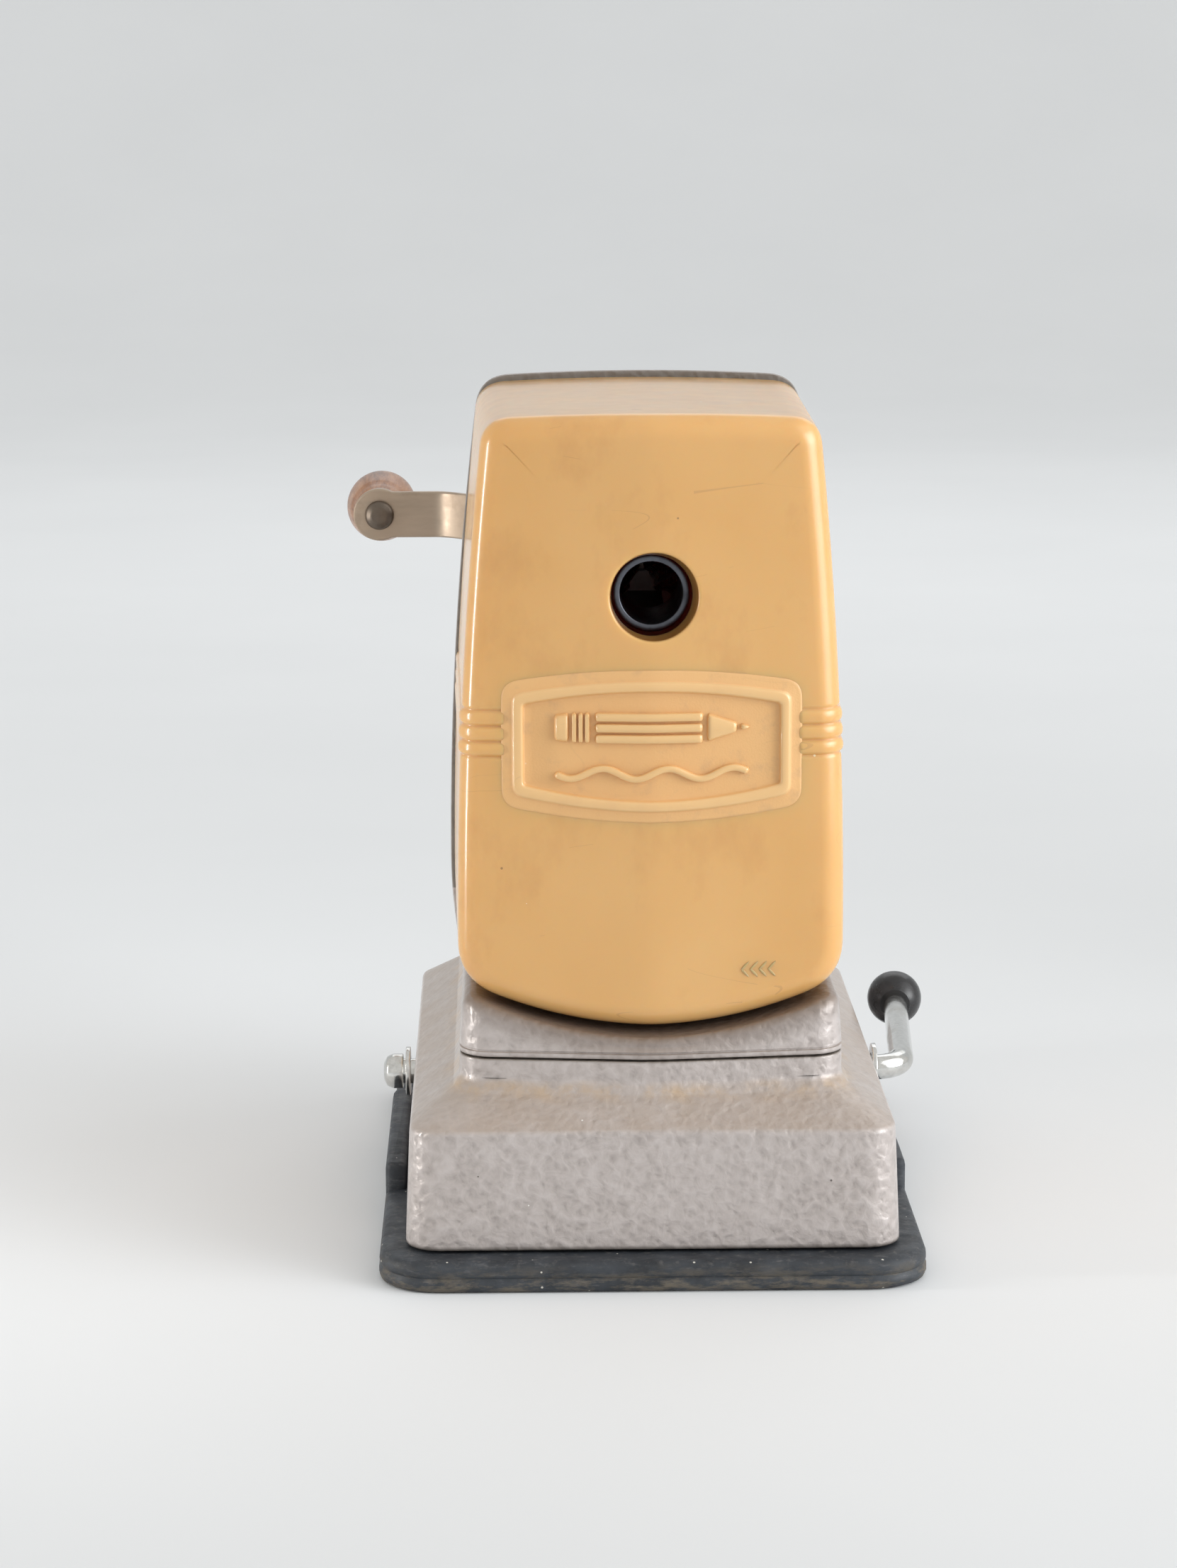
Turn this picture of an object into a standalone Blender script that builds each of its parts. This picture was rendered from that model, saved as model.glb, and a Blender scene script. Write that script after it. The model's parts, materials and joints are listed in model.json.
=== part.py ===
"""A hand-cranked desk pencil sharpener on a rubber suction base.

Lengths and places below are in millimetres and degrees; every mesh is built in metres. The origin is
the middle of the foot's underside, +Z is up, and the pencil goes in along +Y.
"""

import math

import bmesh
import bpy
from mathutils import Matrix, Vector

MM = 0.001
GAP = 0.3  # left between pieces that touch

# Pencil axis and the cutting geometry
AXIS_Z = 90.6
TIP_Y = 2.0  # where the pencil's point ends up
CUTTER_TILT = 11.0  # the half angle of a sharpened point
CUTTER_RADIUS = 7.0
CUTTER_LENGTH = 21.0
CUTTER_FLUTES = 12
CUTTER_TWIST = 40.0
AXLE_RADIUS = 1.5
PINION_TEETH = 12
RING_TEETH = 26
PINION_LENGTH = 4.0

# Foot and base casting
FOOT_HALF_X, FOOT_HALF_Y, FOOT_HEIGHT, FOOT_CORNER = 36.55, 52.35, 4.15, 8.0
FOOT_PLUG_TOP = 7.5
WELL_RADIUS = 24.5
SKIRT_BOTTOM, SKIRT_TOP = 4.5, 20.2
SKIRT_HALF_X, SKIRT_HALF_Y, SKIRT_CORNER = 33.0, 48.0, 4.5
NECK_HALF_X, NECK_FRONT, NECK_BACK, NECK_BOW = 25.7, -42.0, 42.0, 2.8
JOINT_Z = 28.7  # between the base casting and the body casting
DECK_Z = 26.0  # underside of the base casting's deck

# Body casting
SADDLE_RADIUS = 59.0
PEDESTAL_TOP = 38.6
HOUSING_FRONT, HOUSING_BACK, HOUSING_TOP = 15.8, 40.0, 115.7
HOUSING_HALF_X, HOUSING_WIDEST_Z, HOUSING_BELLY = 27.46, 45.0, 530.0
HOUSING_WALL = 2.6
HOUSING_TAPER = 1.9  # how far the top and sides draw in towards the back
BOSS_RADIUS, BOSS_FRONT = 19.5, 18.0
HUB_RADIUS, HUB_BACK = 8.0, 43.7

# Shavings receptacle
CUP_FRONT, CUP_BACK, CUP_TOP = -40.0, 15.45, 114.3
CUP_HALF_X, CUP_WIDEST_Z, CUP_BELLY = 25.75, 45.0, 631.0
CUP_FLOOR_RADIUS = 58.0
CUP_BOW, CUP_FLARE, CUP_WALL = 2.5, 1.1, 1.8
CUP_HOLE_RADIUS = 5.75
BADGE_HALF_X, BADGE_TOP, BADGE_BOTTOM, BADGE_ARC = 18.3, 79.4, 62.1, 1.8

# Drive
TUBE_OUTER, TUBE_INNER, TUBE_FRONT = 5.2, 4.1, -36.0
CARRIER_FRONT, CARRIER_REAR = -23.5, 14.5
CARRIER_RADIUS, CARRIER_REAR_RADIUS = 18.5, 9.4
SHAFT_RADIUS = 3.0
BUSH_BACK = 44.0
ARM_HUB_Y, ARM_OUTER_Y, ARM_THICKNESS, ARM_WIDTH = 45.5, 53.0, 1.6, 7.0
KNOB_X = -38.5
KNOB_FRONT, KNOB_LENGTH, KNOB_RADIUS = 55.8, 19.2, 5.4

# Suction lever
LEVER_Y, LEVER_Z, ROD_RADIUS = 2.0, 16.0, 1.8
BALL_RADIUS, BALL_X, BALL_Y, BALL_Z = 4.15, 40.2, 38.0, 17.4
CAM_RADIUS, CAM_OFFSET, CAM_START = 5.0, 1.1, -65.0

SCREW_SPOTS = [(22.0, 34.0), (-22.0, 34.0), (-22.0, -34.0), (22.0, -34.0)]
BODY_SCREW_SPOTS = [(15.0, 28.0), (-15.0, 28.0), (-15.0, -28.0), (15.0, -28.0)]
RING_SCREW_ANGLES = [90.0, 210.0, 330.0]
RING_SCREW_RADIUS = 16.9

TILT = math.radians(CUTTER_TILT)
# The cutter, pinion and ring gear all roll about one point on the pencil axis.
APEX_Y = TIP_Y + CUTTER_RADIUS * math.sin(TILT) + CUTTER_RADIUS * math.cos(TILT) / math.tan(TILT)
CUTTER_REAR = CUTTER_RADIUS / math.tan(TILT) + 0.9  # along the cutter's axis from the apex
PINION_REAR = 31.0
PINION_CONE = math.atan2(math.sin(TILT), RING_TEETH / PINION_TEETH - math.cos(TILT))
RING_CONE = TILT + PINION_CONE

PARTS = bpy.data.collections.new("pencil_sharpener")
HELPERS = bpy.data.collections.new("cutting_helpers")

PAINT = dict(color=(0.30, 0.29, 0.30), roughness=0.38, metallic=0.45)
STEEL = dict(color=(0.55, 0.55, 0.56), roughness=0.35, metallic=1.0)
BRIGHT = dict(color=(0.72, 0.73, 0.74), roughness=0.15, metallic=1.0)
BLACKENED = dict(color=(0.05, 0.05, 0.055), roughness=0.4, metallic=1.0)
BRONZE = dict(color=(0.55, 0.36, 0.16), roughness=0.35, metallic=1.0)
RUBBER = dict(color=(0.025, 0.025, 0.027), roughness=0.75, metallic=0.0)
AMBER = dict(color=(0.60, 0.36, 0.13), roughness=0.22, metallic=0.0)
WOOD = dict(color=(0.22, 0.07, 0.04), roughness=0.4, metallic=0.0)
BLACK_PLASTIC = dict(color=(0.02, 0.02, 0.02), roughness=0.2, metallic=0.0)


# ---------------------------------------------------------------- tools


def place(obj, at, direction=(0, 0, 1)):
    """Stand the object at a point with its own Z along a direction."""
    turn = Vector((0, 0, 1)).rotation_difference(Vector(direction)).to_matrix().to_4x4()
    obj.matrix_world = Matrix.Translation(Vector(at) * MM) @ turn
    return obj


def object_from(bm, name):
    bmesh.ops.scale(bm, vec=Vector((MM, MM, MM)), verts=bm.verts)
    mesh = bpy.data.meshes.new(name)
    bm.to_mesh(mesh)
    bm.free()
    obj = bpy.data.objects.new(name, mesh)
    PARTS.objects.link(obj)
    return obj


def rod(start, end, radius, segments=24, name="rod"):
    """A cylinder from one point to another."""
    start, end = Vector(start), Vector(end)
    bm = bmesh.new()
    depth = (end - start).length
    bmesh.ops.create_cone(
        bm, cap_ends=True, segments=segments, radius1=radius, radius2=radius, depth=depth
    )
    return place(object_from(bm, name), (start + end) / 2, end - start)


def box(low, high, name="box"):
    low, high = Vector(low), Vector(high)
    bm = bmesh.new()
    bmesh.ops.create_cube(bm, size=1.0)
    bmesh.ops.scale(bm, vec=high - low, verts=bm.verts)
    return place(object_from(bm, name), (low + high) / 2)


def turned(profile, at, direction, steps=20, name="turned"):
    """Spin (radius, height) points, listed down the outer side, about the object's own Z."""
    bm = bmesh.new()
    points = [bm.verts.new((radius, 0, height)) for radius, height in profile]
    for first, second in zip(points, points[1:]):
        bm.edges.new((first, second))
    if profile[0][0] > 0:
        bm.edges.new((points[-1], points[0]))
    obj = place(object_from(bm, name), at, direction)
    screw = obj.modifiers.new("Turn", "SCREW")
    screw.steps = screw.render_steps = steps
    screw.use_merge_vertices = True
    screw.merge_threshold = 1e-6
    return obj


def loft(rings, name="loft", close_last=True, ridge=None):
    """Skin a row of rings with equal point counts; `ridge` creases the first cap between two points."""
    bm = bmesh.new()
    rows = [[bm.verts.new(point) for point in ring] for ring in rings]
    count = len(rows[0])
    for near, far in zip(rows, rows[1:]):
        for i in range(count):
            j = (i + 1) % count
            bm.faces.new((near[i], near[j], far[j], far[i]))
    first_cap = bm.faces.new(rows[0])
    if ridge:
        bmesh.utils.face_split(first_cap, rows[0][ridge[0]], rows[0][ridge[1]])
    if close_last:
        bm.faces.new(rows[-1])
    bmesh.ops.recalc_face_normals(bm, faces=bm.faces)
    return object_from(bm, name)


def plate(outline, thickness, at, direction=(0, 0, 1), name="plate"):
    """A flat outline in the object's own XY plane, given thickness along its own Z."""
    curve = bpy.data.curves.new(name, "CURVE")
    curve.dimensions = "2D"
    curve.fill_mode = "BOTH"
    curve.extrude = thickness / 2 * MM
    spline = curve.splines.new("POLY")
    spline.points.add(len(outline) - 1)
    for point, (x, y) in zip(spline.points, outline):
        point.co = (x * MM, y * MM, 0, 1)
    spline.use_cyclic_u = True
    return as_mesh(curve, at, direction, name)


def wire(points, radius, name="wire"):
    """A round rod along a row of world points."""
    curve = bpy.data.curves.new(name, "CURVE")
    curve.dimensions = "3D"
    curve.bevel_depth = radius * MM
    curve.bevel_resolution = 3
    curve.use_fill_caps = True
    spline = curve.splines.new("POLY")
    spline.points.add(len(points) - 1)
    for point, place_at in zip(spline.points, points):
        point.co = (*(Vector(place_at) * MM), 1)
    return as_mesh(curve, (0, 0, 0), (0, 0, 1), name)


def as_mesh(curve, at, direction, name):
    holder = bpy.data.objects.new(name, curve)
    PARTS.objects.link(holder)
    mesh = bpy.data.meshes.new_from_object(holder.evaluated_get(bpy.context.evaluated_depsgraph_get()))
    bpy.data.objects.remove(holder)
    bpy.data.curves.remove(curve)
    bm = bmesh.new()
    bm.from_mesh(mesh)
    bmesh.ops.remove_doubles(bm, verts=bm.verts, dist=1e-6)
    bmesh.ops.recalc_face_normals(bm, faces=bm.faces)
    bm.to_mesh(mesh)
    bm.free()
    obj = bpy.data.objects.new(name, mesh)
    PARTS.objects.link(obj)
    return place(obj, at, direction)


def combine(target, tool, operation):
    """Boolean the tool into the target; the tool stays as a hidden helper."""
    PARTS.objects.unlink(tool)
    HELPERS.objects.link(tool)
    tool.hide_render = True
    tool.display_type = "WIRE"
    step = target.modifiers.new(operation.title(), "BOOLEAN")
    step.operation = operation
    step.solver = "EXACT"
    step.object = tool
    return target


def cut(target, *tools):
    for tool in tools:
        combine(target, tool, "DIFFERENCE")
    return target


def join(target, *tools):
    for tool in tools:
        combine(target, tool, "UNION")
    return target


def bevel(obj, width, segments=2, angle=35.0):
    step = obj.modifiers.new("Bevel", "BEVEL")
    step.width = width * MM
    step.segments = segments
    step.limit_method = "ANGLE"
    step.angle_limit = math.radians(angle)
    return obj


def finish(obj, name, look, parent=None, origin=None):
    """Name a piece, give it its material, and put its origin on its joint if it has one."""
    obj.name = name
    obj.data.name = name
    material = bpy.data.materials.new(name)
    material.use_nodes = True
    shader = material.node_tree.nodes["Principled BSDF"]
    shader.inputs["Base Color"].default_value = (*look["color"], 1)
    shader.inputs["Roughness"].default_value = look["roughness"]
    shader.inputs["Metallic"].default_value = look["metallic"]
    material.diffuse_color = (*look["color"], 1)
    obj.data.materials.clear()
    obj.data.materials.append(material)
    for face in obj.data.polygons:
        face.use_smooth = True
    obj.data.set_sharp_from_angle(angle=math.radians(30))
    if origin is not None:
        shift = Vector(origin) * MM - obj.matrix_world.translation
        local = obj.matrix_world.to_3x3().inverted() @ shift
        obj.data.transform(Matrix.Translation(-local))
        obj.matrix_world = Matrix.Translation(shift) @ obj.matrix_world
    if parent:
        world = obj.matrix_world.copy()
        obj.parent = parent
        obj.matrix_parent_inverse = parent.matrix_world.inverted()
        obj.matrix_world = world
    return obj


def pivot(name, at, direction=(0, 0, 1), parent=None):
    """An empty on a joint's axis, that the moving pieces hang from."""
    empty = bpy.data.objects.new(name, None)
    empty.empty_display_size = 10 * MM
    PARTS.objects.link(empty)
    place(empty, at, direction)
    bpy.context.view_layer.update()
    if parent:
        world = empty.matrix_world.copy()
        empty.parent = parent
        empty.matrix_parent_inverse = parent.matrix_world.inverted()
        empty.matrix_world = world
        bpy.context.view_layer.update()
    return empty


# ---------------------------------------------------------------- outlines


def rounded_corner(before, corner, after, steps=3):
    """Points of a soft corner, from one edge point to the next."""
    points = []
    for i in range(steps + 1):
        t = i / steps
        weights = ((1 - t) ** 2, 2 * t * (1 - t), t * t)
        points.append(
            tuple(sum(w * p[k] for w, p in zip(weights, (before, corner, after))) for k in (0, 1))
        )
    return points


def rounded_rectangle(half_x, front, back, corner, z, bow=0.0, steps=4):
    """A ring at height z; `bow` sets the front's sides back from its middle."""
    ring = []
    for side_x, side_y, start in ((1, 1, 0), (-1, 1, 90), (-1, -1, 180), (1, -1, 270)):
        centre_x = side_x * (half_x - corner)
        centre_y = back - corner if side_y > 0 else front + corner
        for i in range(steps + 1):
            angle = math.radians(start + 90 * i / steps)
            ring.append((centre_x + corner * math.cos(angle), centre_y + corner * math.sin(angle)))
        if start in (0, 180):
            ring.append((0, back if side_y > 0 else front))
    return [(x, y + (bow * abs(x) / half_x if y < 0 else 0), z) for x, y in ring]


def belly(half_x, widest_z, radius):
    """Half width at a height, for a side that swells to its widest point."""
    return lambda z: half_x - (z - widest_z) ** 2 / (2 * radius)


def mirrored_section(right_half, y):
    """A closed ring in the plane y from its right half, listed from bottom centre to top centre."""
    left_half = [(-x, z) for x, z in reversed(right_half[1:-1])]
    return [(x, y, z) for x, z in right_half + left_half]


def cup_section(y, inset=0.0, grow=0.0):
    """The receptacle's outline: an arched floor, swelling sides and a nearly flat top."""
    width = belly(CUP_HALF_X + grow - inset, CUP_WIDEST_Z, CUP_BELLY)
    floor = CUP_FLOOR_RADIUS - inset
    top = CUP_TOP - inset + 0.4 * grow
    low_z = AXIS_Z - math.sqrt(floor**2 - width(40) ** 2)
    half = [(x, AXIS_Z - math.sqrt(floor**2 - x * x)) for x in (0, 6, 12, 18)]
    floor_end = (20.5, AXIS_Z - math.sqrt(floor**2 - 20.5**2))
    half += rounded_corner(floor_end, (width(40), low_z), (width(43.5), 43.5))
    half += [(width(z), z) for z in (58, 74, 90, 102)]
    top_start = (width(top) - 4.0, top - 0.5)
    half += rounded_corner((width(110), 110), (width(top - 0.6), top - 0.6), top_start)
    half += [(9, top - 0.12), (0, top)]
    return mirrored_section(half, y)


def housing_section(y, inset=0.0, low=JOINT_Z + GAP / 2):
    """The rear housing's outline, from the joint with the base up to its rounded top."""
    upper = belly(HOUSING_HALF_X - inset, HOUSING_WIDEST_Z, HOUSING_BELLY)
    lower = belly(HOUSING_HALF_X - inset, HOUSING_WIDEST_Z, 76.0)
    top = HOUSING_TOP - inset
    half = [(0, low), (lower(low), low)]
    half += [(lower(z), z) for z in (low + 4, low + 9)]
    half += [(upper(z), z) for z in (48, 62, 76, 90, 102)]
    top_start = (upper(top) - 4.5, top - 0.5)
    half += rounded_corner((upper(110.5), 110.5), (upper(top - 0.7), top - 0.7), top_start)
    half += [(9, top - 0.12), (0, top)]
    return mirrored_section(half, y)


def gear_outline(teeth, root, tip, root_share, tip_share, phase=0.0):
    """Straight-sided teeth; a share is the part of one pitch that a tooth fills at that radius."""
    points = []
    for tooth in range(teeth):
        middle = phase + math.tau * tooth / teeth
        for radius, share in ((root, -root_share), (tip, -tip_share), (tip, tip_share), (root, root_share)):
            angle = middle + share * math.pi / teeth
            points.append((radius * math.cos(angle), radius * math.sin(angle)))
    return points


# ---------------------------------------------------------------- foot and base


def make_suction_foot():
    half_x, half_y = FOOT_HALF_X, FOOT_HALF_Y
    rings = [
        rounded_rectangle(half_x - inset, inset - half_y, half_y - inset, FOOT_CORNER - inset, z)
        for inset, z in ((0.7, 0), (0, 1.0), (0.25, 2.1), (0, 2.4), (0, 3.3), (0.7, FOOT_HEIGHT))
    ]
    foot = loft(rings)
    inner_x, inner_y = SKIRT_HALF_X - 3.1, SKIRT_HALF_Y - 3.1
    plug = loft([rounded_rectangle(inner_x, -inner_y, inner_y, 2.5, z) for z in (2.0, FOOT_PLUG_TOP)])
    join(foot, plug)
    for side in (-1, 1):
        near, far = sorted((side * (SKIRT_HALF_X + 0.4), side * (SKIRT_HALF_X + 3.2)))
        lip = box((near, LEVER_Y - 20, 1.0), (far, LEVER_Y + 20, 8.0))
        join(foot, bevel(lip, 1.0))
    cut(foot, rod((0, 0, -1), (0, 0, 10), WELL_RADIUS, segments=36))
    for x, y in SCREW_SPOTS:
        cut(foot, rod((x, y, -1), (x, y, 10), 3.6, segments=16))
    finish(foot, "suction_foot", RUBBER)


def make_base_casting():
    steps = (  # half width, front, back, corner, height, bow
        (SKIRT_HALF_X, -SKIRT_HALF_Y, SKIRT_HALF_Y, SKIRT_CORNER, SKIRT_BOTTOM, 0),
        (SKIRT_HALF_X - 0.65, -SKIRT_HALF_Y + 0.5, SKIRT_HALF_Y - 0.5, SKIRT_CORNER, SKIRT_TOP - 0.7, 0),
        (SKIRT_HALF_X - 1.2, -SKIRT_HALF_Y + 1.0, SKIRT_HALF_Y - 1.0, SKIRT_CORNER, SKIRT_TOP + 0.2, 0),
        (NECK_HALF_X + 1.9, NECK_FRONT - 1.7, NECK_BACK + 1.9, SKIRT_CORNER, 23.4, 1.6),
        (NECK_HALF_X + 0.7, NECK_FRONT - 0.7, NECK_BACK + 0.7, SKIRT_CORNER, 24.6, 2.3),
        (NECK_HALF_X + 0.1, NECK_FRONT - 0.1, NECK_BACK + 0.1, 4.0, 26.4, NECK_BOW),
        (NECK_HALF_X, NECK_FRONT, NECK_BACK, 4.0, JOINT_Z - GAP / 2, NECK_BOW),
    )
    casting = loft([rounded_rectangle(x, front, back, r, z, bow) for x, front, back, r, z, bow in steps])
    wall = 2.7
    hollow = (
        (SKIRT_HALF_X - wall, SKIRT_HALF_Y - wall, 3.0),
        (SKIRT_HALF_X - wall - 0.5, SKIRT_HALF_Y - wall - 0.5, SKIRT_TOP - 1.8),
        (NECK_HALF_X - 1.6, -NECK_FRONT - 2.2, 22.8),
        (NECK_HALF_X - 3.0, -NECK_FRONT - 4.6, DECK_Z),
    )
    cut(casting, loft([rounded_rectangle(x, -y, y, 3.0, z) for x, y, z in hollow]))
    for x, y in SCREW_SPOTS:
        join(casting, rod((x, y, 9.3), (x, y, DECK_Z + 1), 3.6, segments=16))
        cut(casting, rod((x, y, 5), (x, y, 20), 1.5, segments=12))
    for x, y in BODY_SCREW_SPOTS:
        cut(casting, rod((x, y, 20), (x, y, JOINT_Z + 2), 1.8, segments=12))
    axle_hole = rod((-40, LEVER_Y, LEVER_Z), (40, LEVER_Y, LEVER_Z), ROD_RADIUS + GAP, segments=16)
    cut(casting, axle_hole)
    finish(casting, "base_casting", PAINT)


def make_body_casting():
    low = JOINT_Z + GAP / 2
    steps = ((NECK_HALF_X, 0, low), (NECK_HALF_X, 0, low + 3), (NECK_HALF_X - 0.6, 0.4, PEDESTAL_TOP))
    casting = loft(
        [rounded_rectangle(x, NECK_FRONT + back, NECK_BACK, 4.0, z, NECK_BOW) for x, back, z in steps]
    )
    saddle = rod((0, -60, AXIS_Z), (0, HOUSING_FRONT - 0.1, AXIS_Z), SADDLE_RADIUS, segments=128)
    cut(casting, saddle)
    rows = (
        (HOUSING_FRONT, 0.3),
        (HOUSING_FRONT + 0.5, 0),
        (HOUSING_BACK - 5, HOUSING_TAPER),
        (HOUSING_BACK - 1.6, HOUSING_TAPER + 1.2),
        (HOUSING_BACK, HOUSING_TAPER + 3.6),
    )
    join(casting, loft([housing_section(y, inset) for y, inset in rows]))
    cavity_rows = (
        (HOUSING_FRONT - 1, HOUSING_WALL),
        (HOUSING_BACK - 7, HOUSING_WALL + 0.9 * HOUSING_TAPER),
        (HOUSING_BACK - 3.5, HOUSING_WALL + HOUSING_TAPER + 2.6),
    )
    cavity = loft([housing_section(y, inset, low=39.0) for y, inset in cavity_rows])
    cut(casting, cavity)
    boss = rod((0, BOSS_FRONT, AXIS_Z), (0, HOUSING_BACK - 2, AXIS_Z), BOSS_RADIUS, segments=36)
    boss_hollow = rod((0, 0, AXIS_Z), (0, HOUSING_BACK - 5, AXIS_Z), 13.5, segments=36)
    hub = rod((0, BOSS_FRONT + 2, AXIS_Z), (0, HUB_BACK, AXIS_Z), HUB_RADIUS, segments=24)
    bore = rod((0, 0, AXIS_Z), (0, 60, AXIS_Z), 4.8, segments=24)
    join(casting, boss)
    cut(casting, boss_hollow)
    join(casting, hub)
    cut(casting, bore)
    for x, z in ring_screw_places():
        cut(casting, rod((x, BOSS_FRONT - 4, z), (x, BOSS_FRONT + 9, z), 1.3, segments=12))
    for x, y in BODY_SCREW_SPOTS:
        cut(casting, rod((x, y, low - 2), (x, y, low + 3.6), 1.8, segments=12))
    finish(casting, "body_casting", PAINT)


def make_foot_retainer():
    inner_x, inner_y = SKIRT_HALF_X - 3.6, SKIRT_HALF_Y - 3.6
    bottom, top = FOOT_PLUG_TOP + GAP, 9.0
    retainer = loft([rounded_rectangle(inner_x, -inner_y, inner_y, 2.5, z) for z in (bottom, top)])
    cut(retainer, rod((0, 0, 0), (0, 0, 12), WELL_RADIUS + 0.5, segments=36))
    for x, y in SCREW_SPOTS:
        cut(retainer, rod((x, y, 0), (x, y, 12), 1.8, segments=12))
    finish(retainer, "foot_retainer", STEEL)


def pan_screw(seat, direction, head_radius, shank_radius, length, name):
    """A slotted screw whose head's underside sits at `seat`, with its shank along `direction`."""
    head = 0.55 * head_radius
    profile = [
        (0, -head),
        (head_radius * 0.8, -head * 0.85),
        (head_radius, -head * 0.3),
        (head_radius, 0),
        (shank_radius, 0),
        (shank_radius, length),
        (0, length),
    ]
    screw = turned([(r, -h) for r, h in profile], seat, tuple(-c for c in direction), steps=12)
    axis = Vector(direction)
    slot_low = Vector((-head_radius - 1, -0.4, -head * 1.2))
    slot = box(slot_low, (head_radius + 1, 0.4, -head * 0.6))
    turn = Vector((0, 0, 1)).rotation_difference(axis).to_matrix().to_4x4()
    slot.matrix_world = Matrix.Translation(Vector(seat) * MM) @ turn @ slot.matrix_world
    cut(screw, slot)
    return finish(screw, name, STEEL)


def make_base_screws():
    for number, (x, y) in enumerate(SCREW_SPOTS, 1):
        pan_screw((x, y, FOOT_PLUG_TOP), (0, 0, 1), 3.0, 1.2, 9.0, f"retainer_screw_{number}")
    for number, (x, y) in enumerate(BODY_SCREW_SPOTS, 1):
        pan_screw((x, y, DECK_Z - GAP), (0, 0, 1), 3.2, 1.5, 6.0, f"body_screw_{number}")


# ---------------------------------------------------------------- receptacle


def badge_outline(grow):
    """A barrel-shaped frame: straight sides, arched top and bottom."""
    half = BADGE_HALF_X + grow
    top, bottom = BADGE_TOP + grow, BADGE_BOTTOM - grow
    across = [half * (1 - i / 6) for i in range(13)]
    upper = [(x, top - BADGE_ARC * (x / half) ** 2) for x in across]
    lower = [(x, bottom + BADGE_ARC * (x / half) ** 2) for x in reversed(across)]
    return upper + lower


def make_receptacle(slide):
    depth = CUP_BACK - CUP_FRONT
    rows = [(0.0, 3.2), (0.35, 1.6), (1.3, 0.5), (3.2, 0.0), (0.55 * depth, 0.0), (depth, 0.0)]
    rings = []
    for back, inset in rows:
        ring = cup_section(CUP_FRONT + back, inset, CUP_FLARE * back / depth)
        fade = 1 - back / depth
        rings.append([(x, y + CUP_BOW * abs(x) / CUP_HALF_X * fade, z) for x, y, z in ring])
    top_index = len(rings[0]) // 2
    cup = loft(rings, close_last=False, ridge=(0, top_index))
    shell = cup.modifiers.new("Wall", "SOLIDIFY")
    shell.thickness = CUP_WALL * MM
    shell.offset = -1
    shell.use_even_offset = True
    cut(cup, rod((0, -60, AXIS_Z), (0, -30, AXIS_Z), CUP_HOLE_RADIUS, segments=32))
    outer = plate(badge_outline(0), 6.0, (0, CUP_FRONT + 2.2, 0), (0, -1, 0))
    inner = plate(badge_outline(-1.3), 8.0, (0, CUP_FRONT + 2.2, 0), (0, -1, 0))
    upright = Matrix.Translation((0, (CUP_FRONT + 2.2) * MM, 0)) @ Matrix.Rotation(math.pi / 2, 4, "X")
    outer.matrix_world = inner.matrix_world = upright
    cut(outer, inner)
    wedge_rings = []
    for y_shift in (-0.55, 0.9):
        corners = ((-30, 55), (0, 55), (30, 55), (30, 90), (0, 90), (-30, 90))
        wedge_rings.append(
            [(x, CUP_FRONT + y_shift + CUP_BOW * abs(x) / CUP_HALF_X, z) for x, z in corners]
        )
    frame = loft(wedge_rings, ridge=(1, 4))
    combine(outer, frame, "INTERSECT")
    join(cup, outer)
    finish(cup, "shavings_receptacle", AMBER, slide)


def make_catch():
    """A bent spring strip in the housing's roof that grips the receptacle."""
    roof = HOUSING_TOP - HOUSING_WALL - 1.2
    low, back = roof - 3.4, 23.0
    upper = [(back, roof), (14.0, roof), (12.4, low + 1.2), (8.0, low + 0.7)]
    lower = [(8.0, low), (13.0, low + 0.5), (14.5, roof - 0.6), (back, roof - 0.6)]
    strip = plate(lower + upper, 9.0, (0, 0, 0))
    strip.matrix_world = Matrix(((0, 0, 1, 0), (1, 0, 0, 0), (0, 1, 0, 0), (0, 0, 0, 1)))
    finish(strip, "receptacle_catch", STEEL)


# ---------------------------------------------------------------- drive


def ring_screw_places():
    angles = [math.radians(a) for a in RING_SCREW_ANGLES]
    return [(RING_SCREW_RADIUS * math.cos(a), AXIS_Z + RING_SCREW_RADIUS * math.sin(a)) for a in angles]


def cone_gear_ring(teeth, cone, distance, addendum, dedendum, tip_share, root_share, phase):
    """A gear outline scaled with its distance from the rolling point, measured along the gear's axis."""
    pitch = distance * math.tan(cone)
    scale = distance / PINION_REAR
    return gear_outline(
        teeth, pitch - dedendum * scale, pitch + addendum * scale, root_share, tip_share, phase
    )


def make_ring_gear():
    front, teeth_back, flange, back = 4.8, 9.5, 15.2, BOSS_FRONT - GAP
    outside = [(14.3, -front), (14.3, -flange), (19.0, -flange), (19.0, -back)]
    inside = [(10.1, -back), (10.1, -front)]
    gear = turned(outside + inside, (0, 0, AXIS_Z), (0, -1, 0), steps=32)
    rings = []
    for y in (front - 0.5, teeth_back):
        distance = APEX_Y - y
        outline = cone_gear_ring(RING_TEETH, RING_CONE, distance, 0.7, 0.5, 0.34, 0.72, 0.0)
        rings.append([(x, y, AXIS_Z + z) for x, z in outline])
    cut(gear, loft(rings))
    for x, z in ring_screw_places():
        cut(gear, rod((x, 10, z), (x, 20, z), 1.5, segments=12))
    finish(gear, "ring_gear", STEEL)
    for number, (x, z) in enumerate(ring_screw_places(), 1):
        pan_screw((x, flange - GAP, z), (0, 1, 0), 2.0, 1.0, 9.0, f"ring_gear_screw_{number}")


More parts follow.
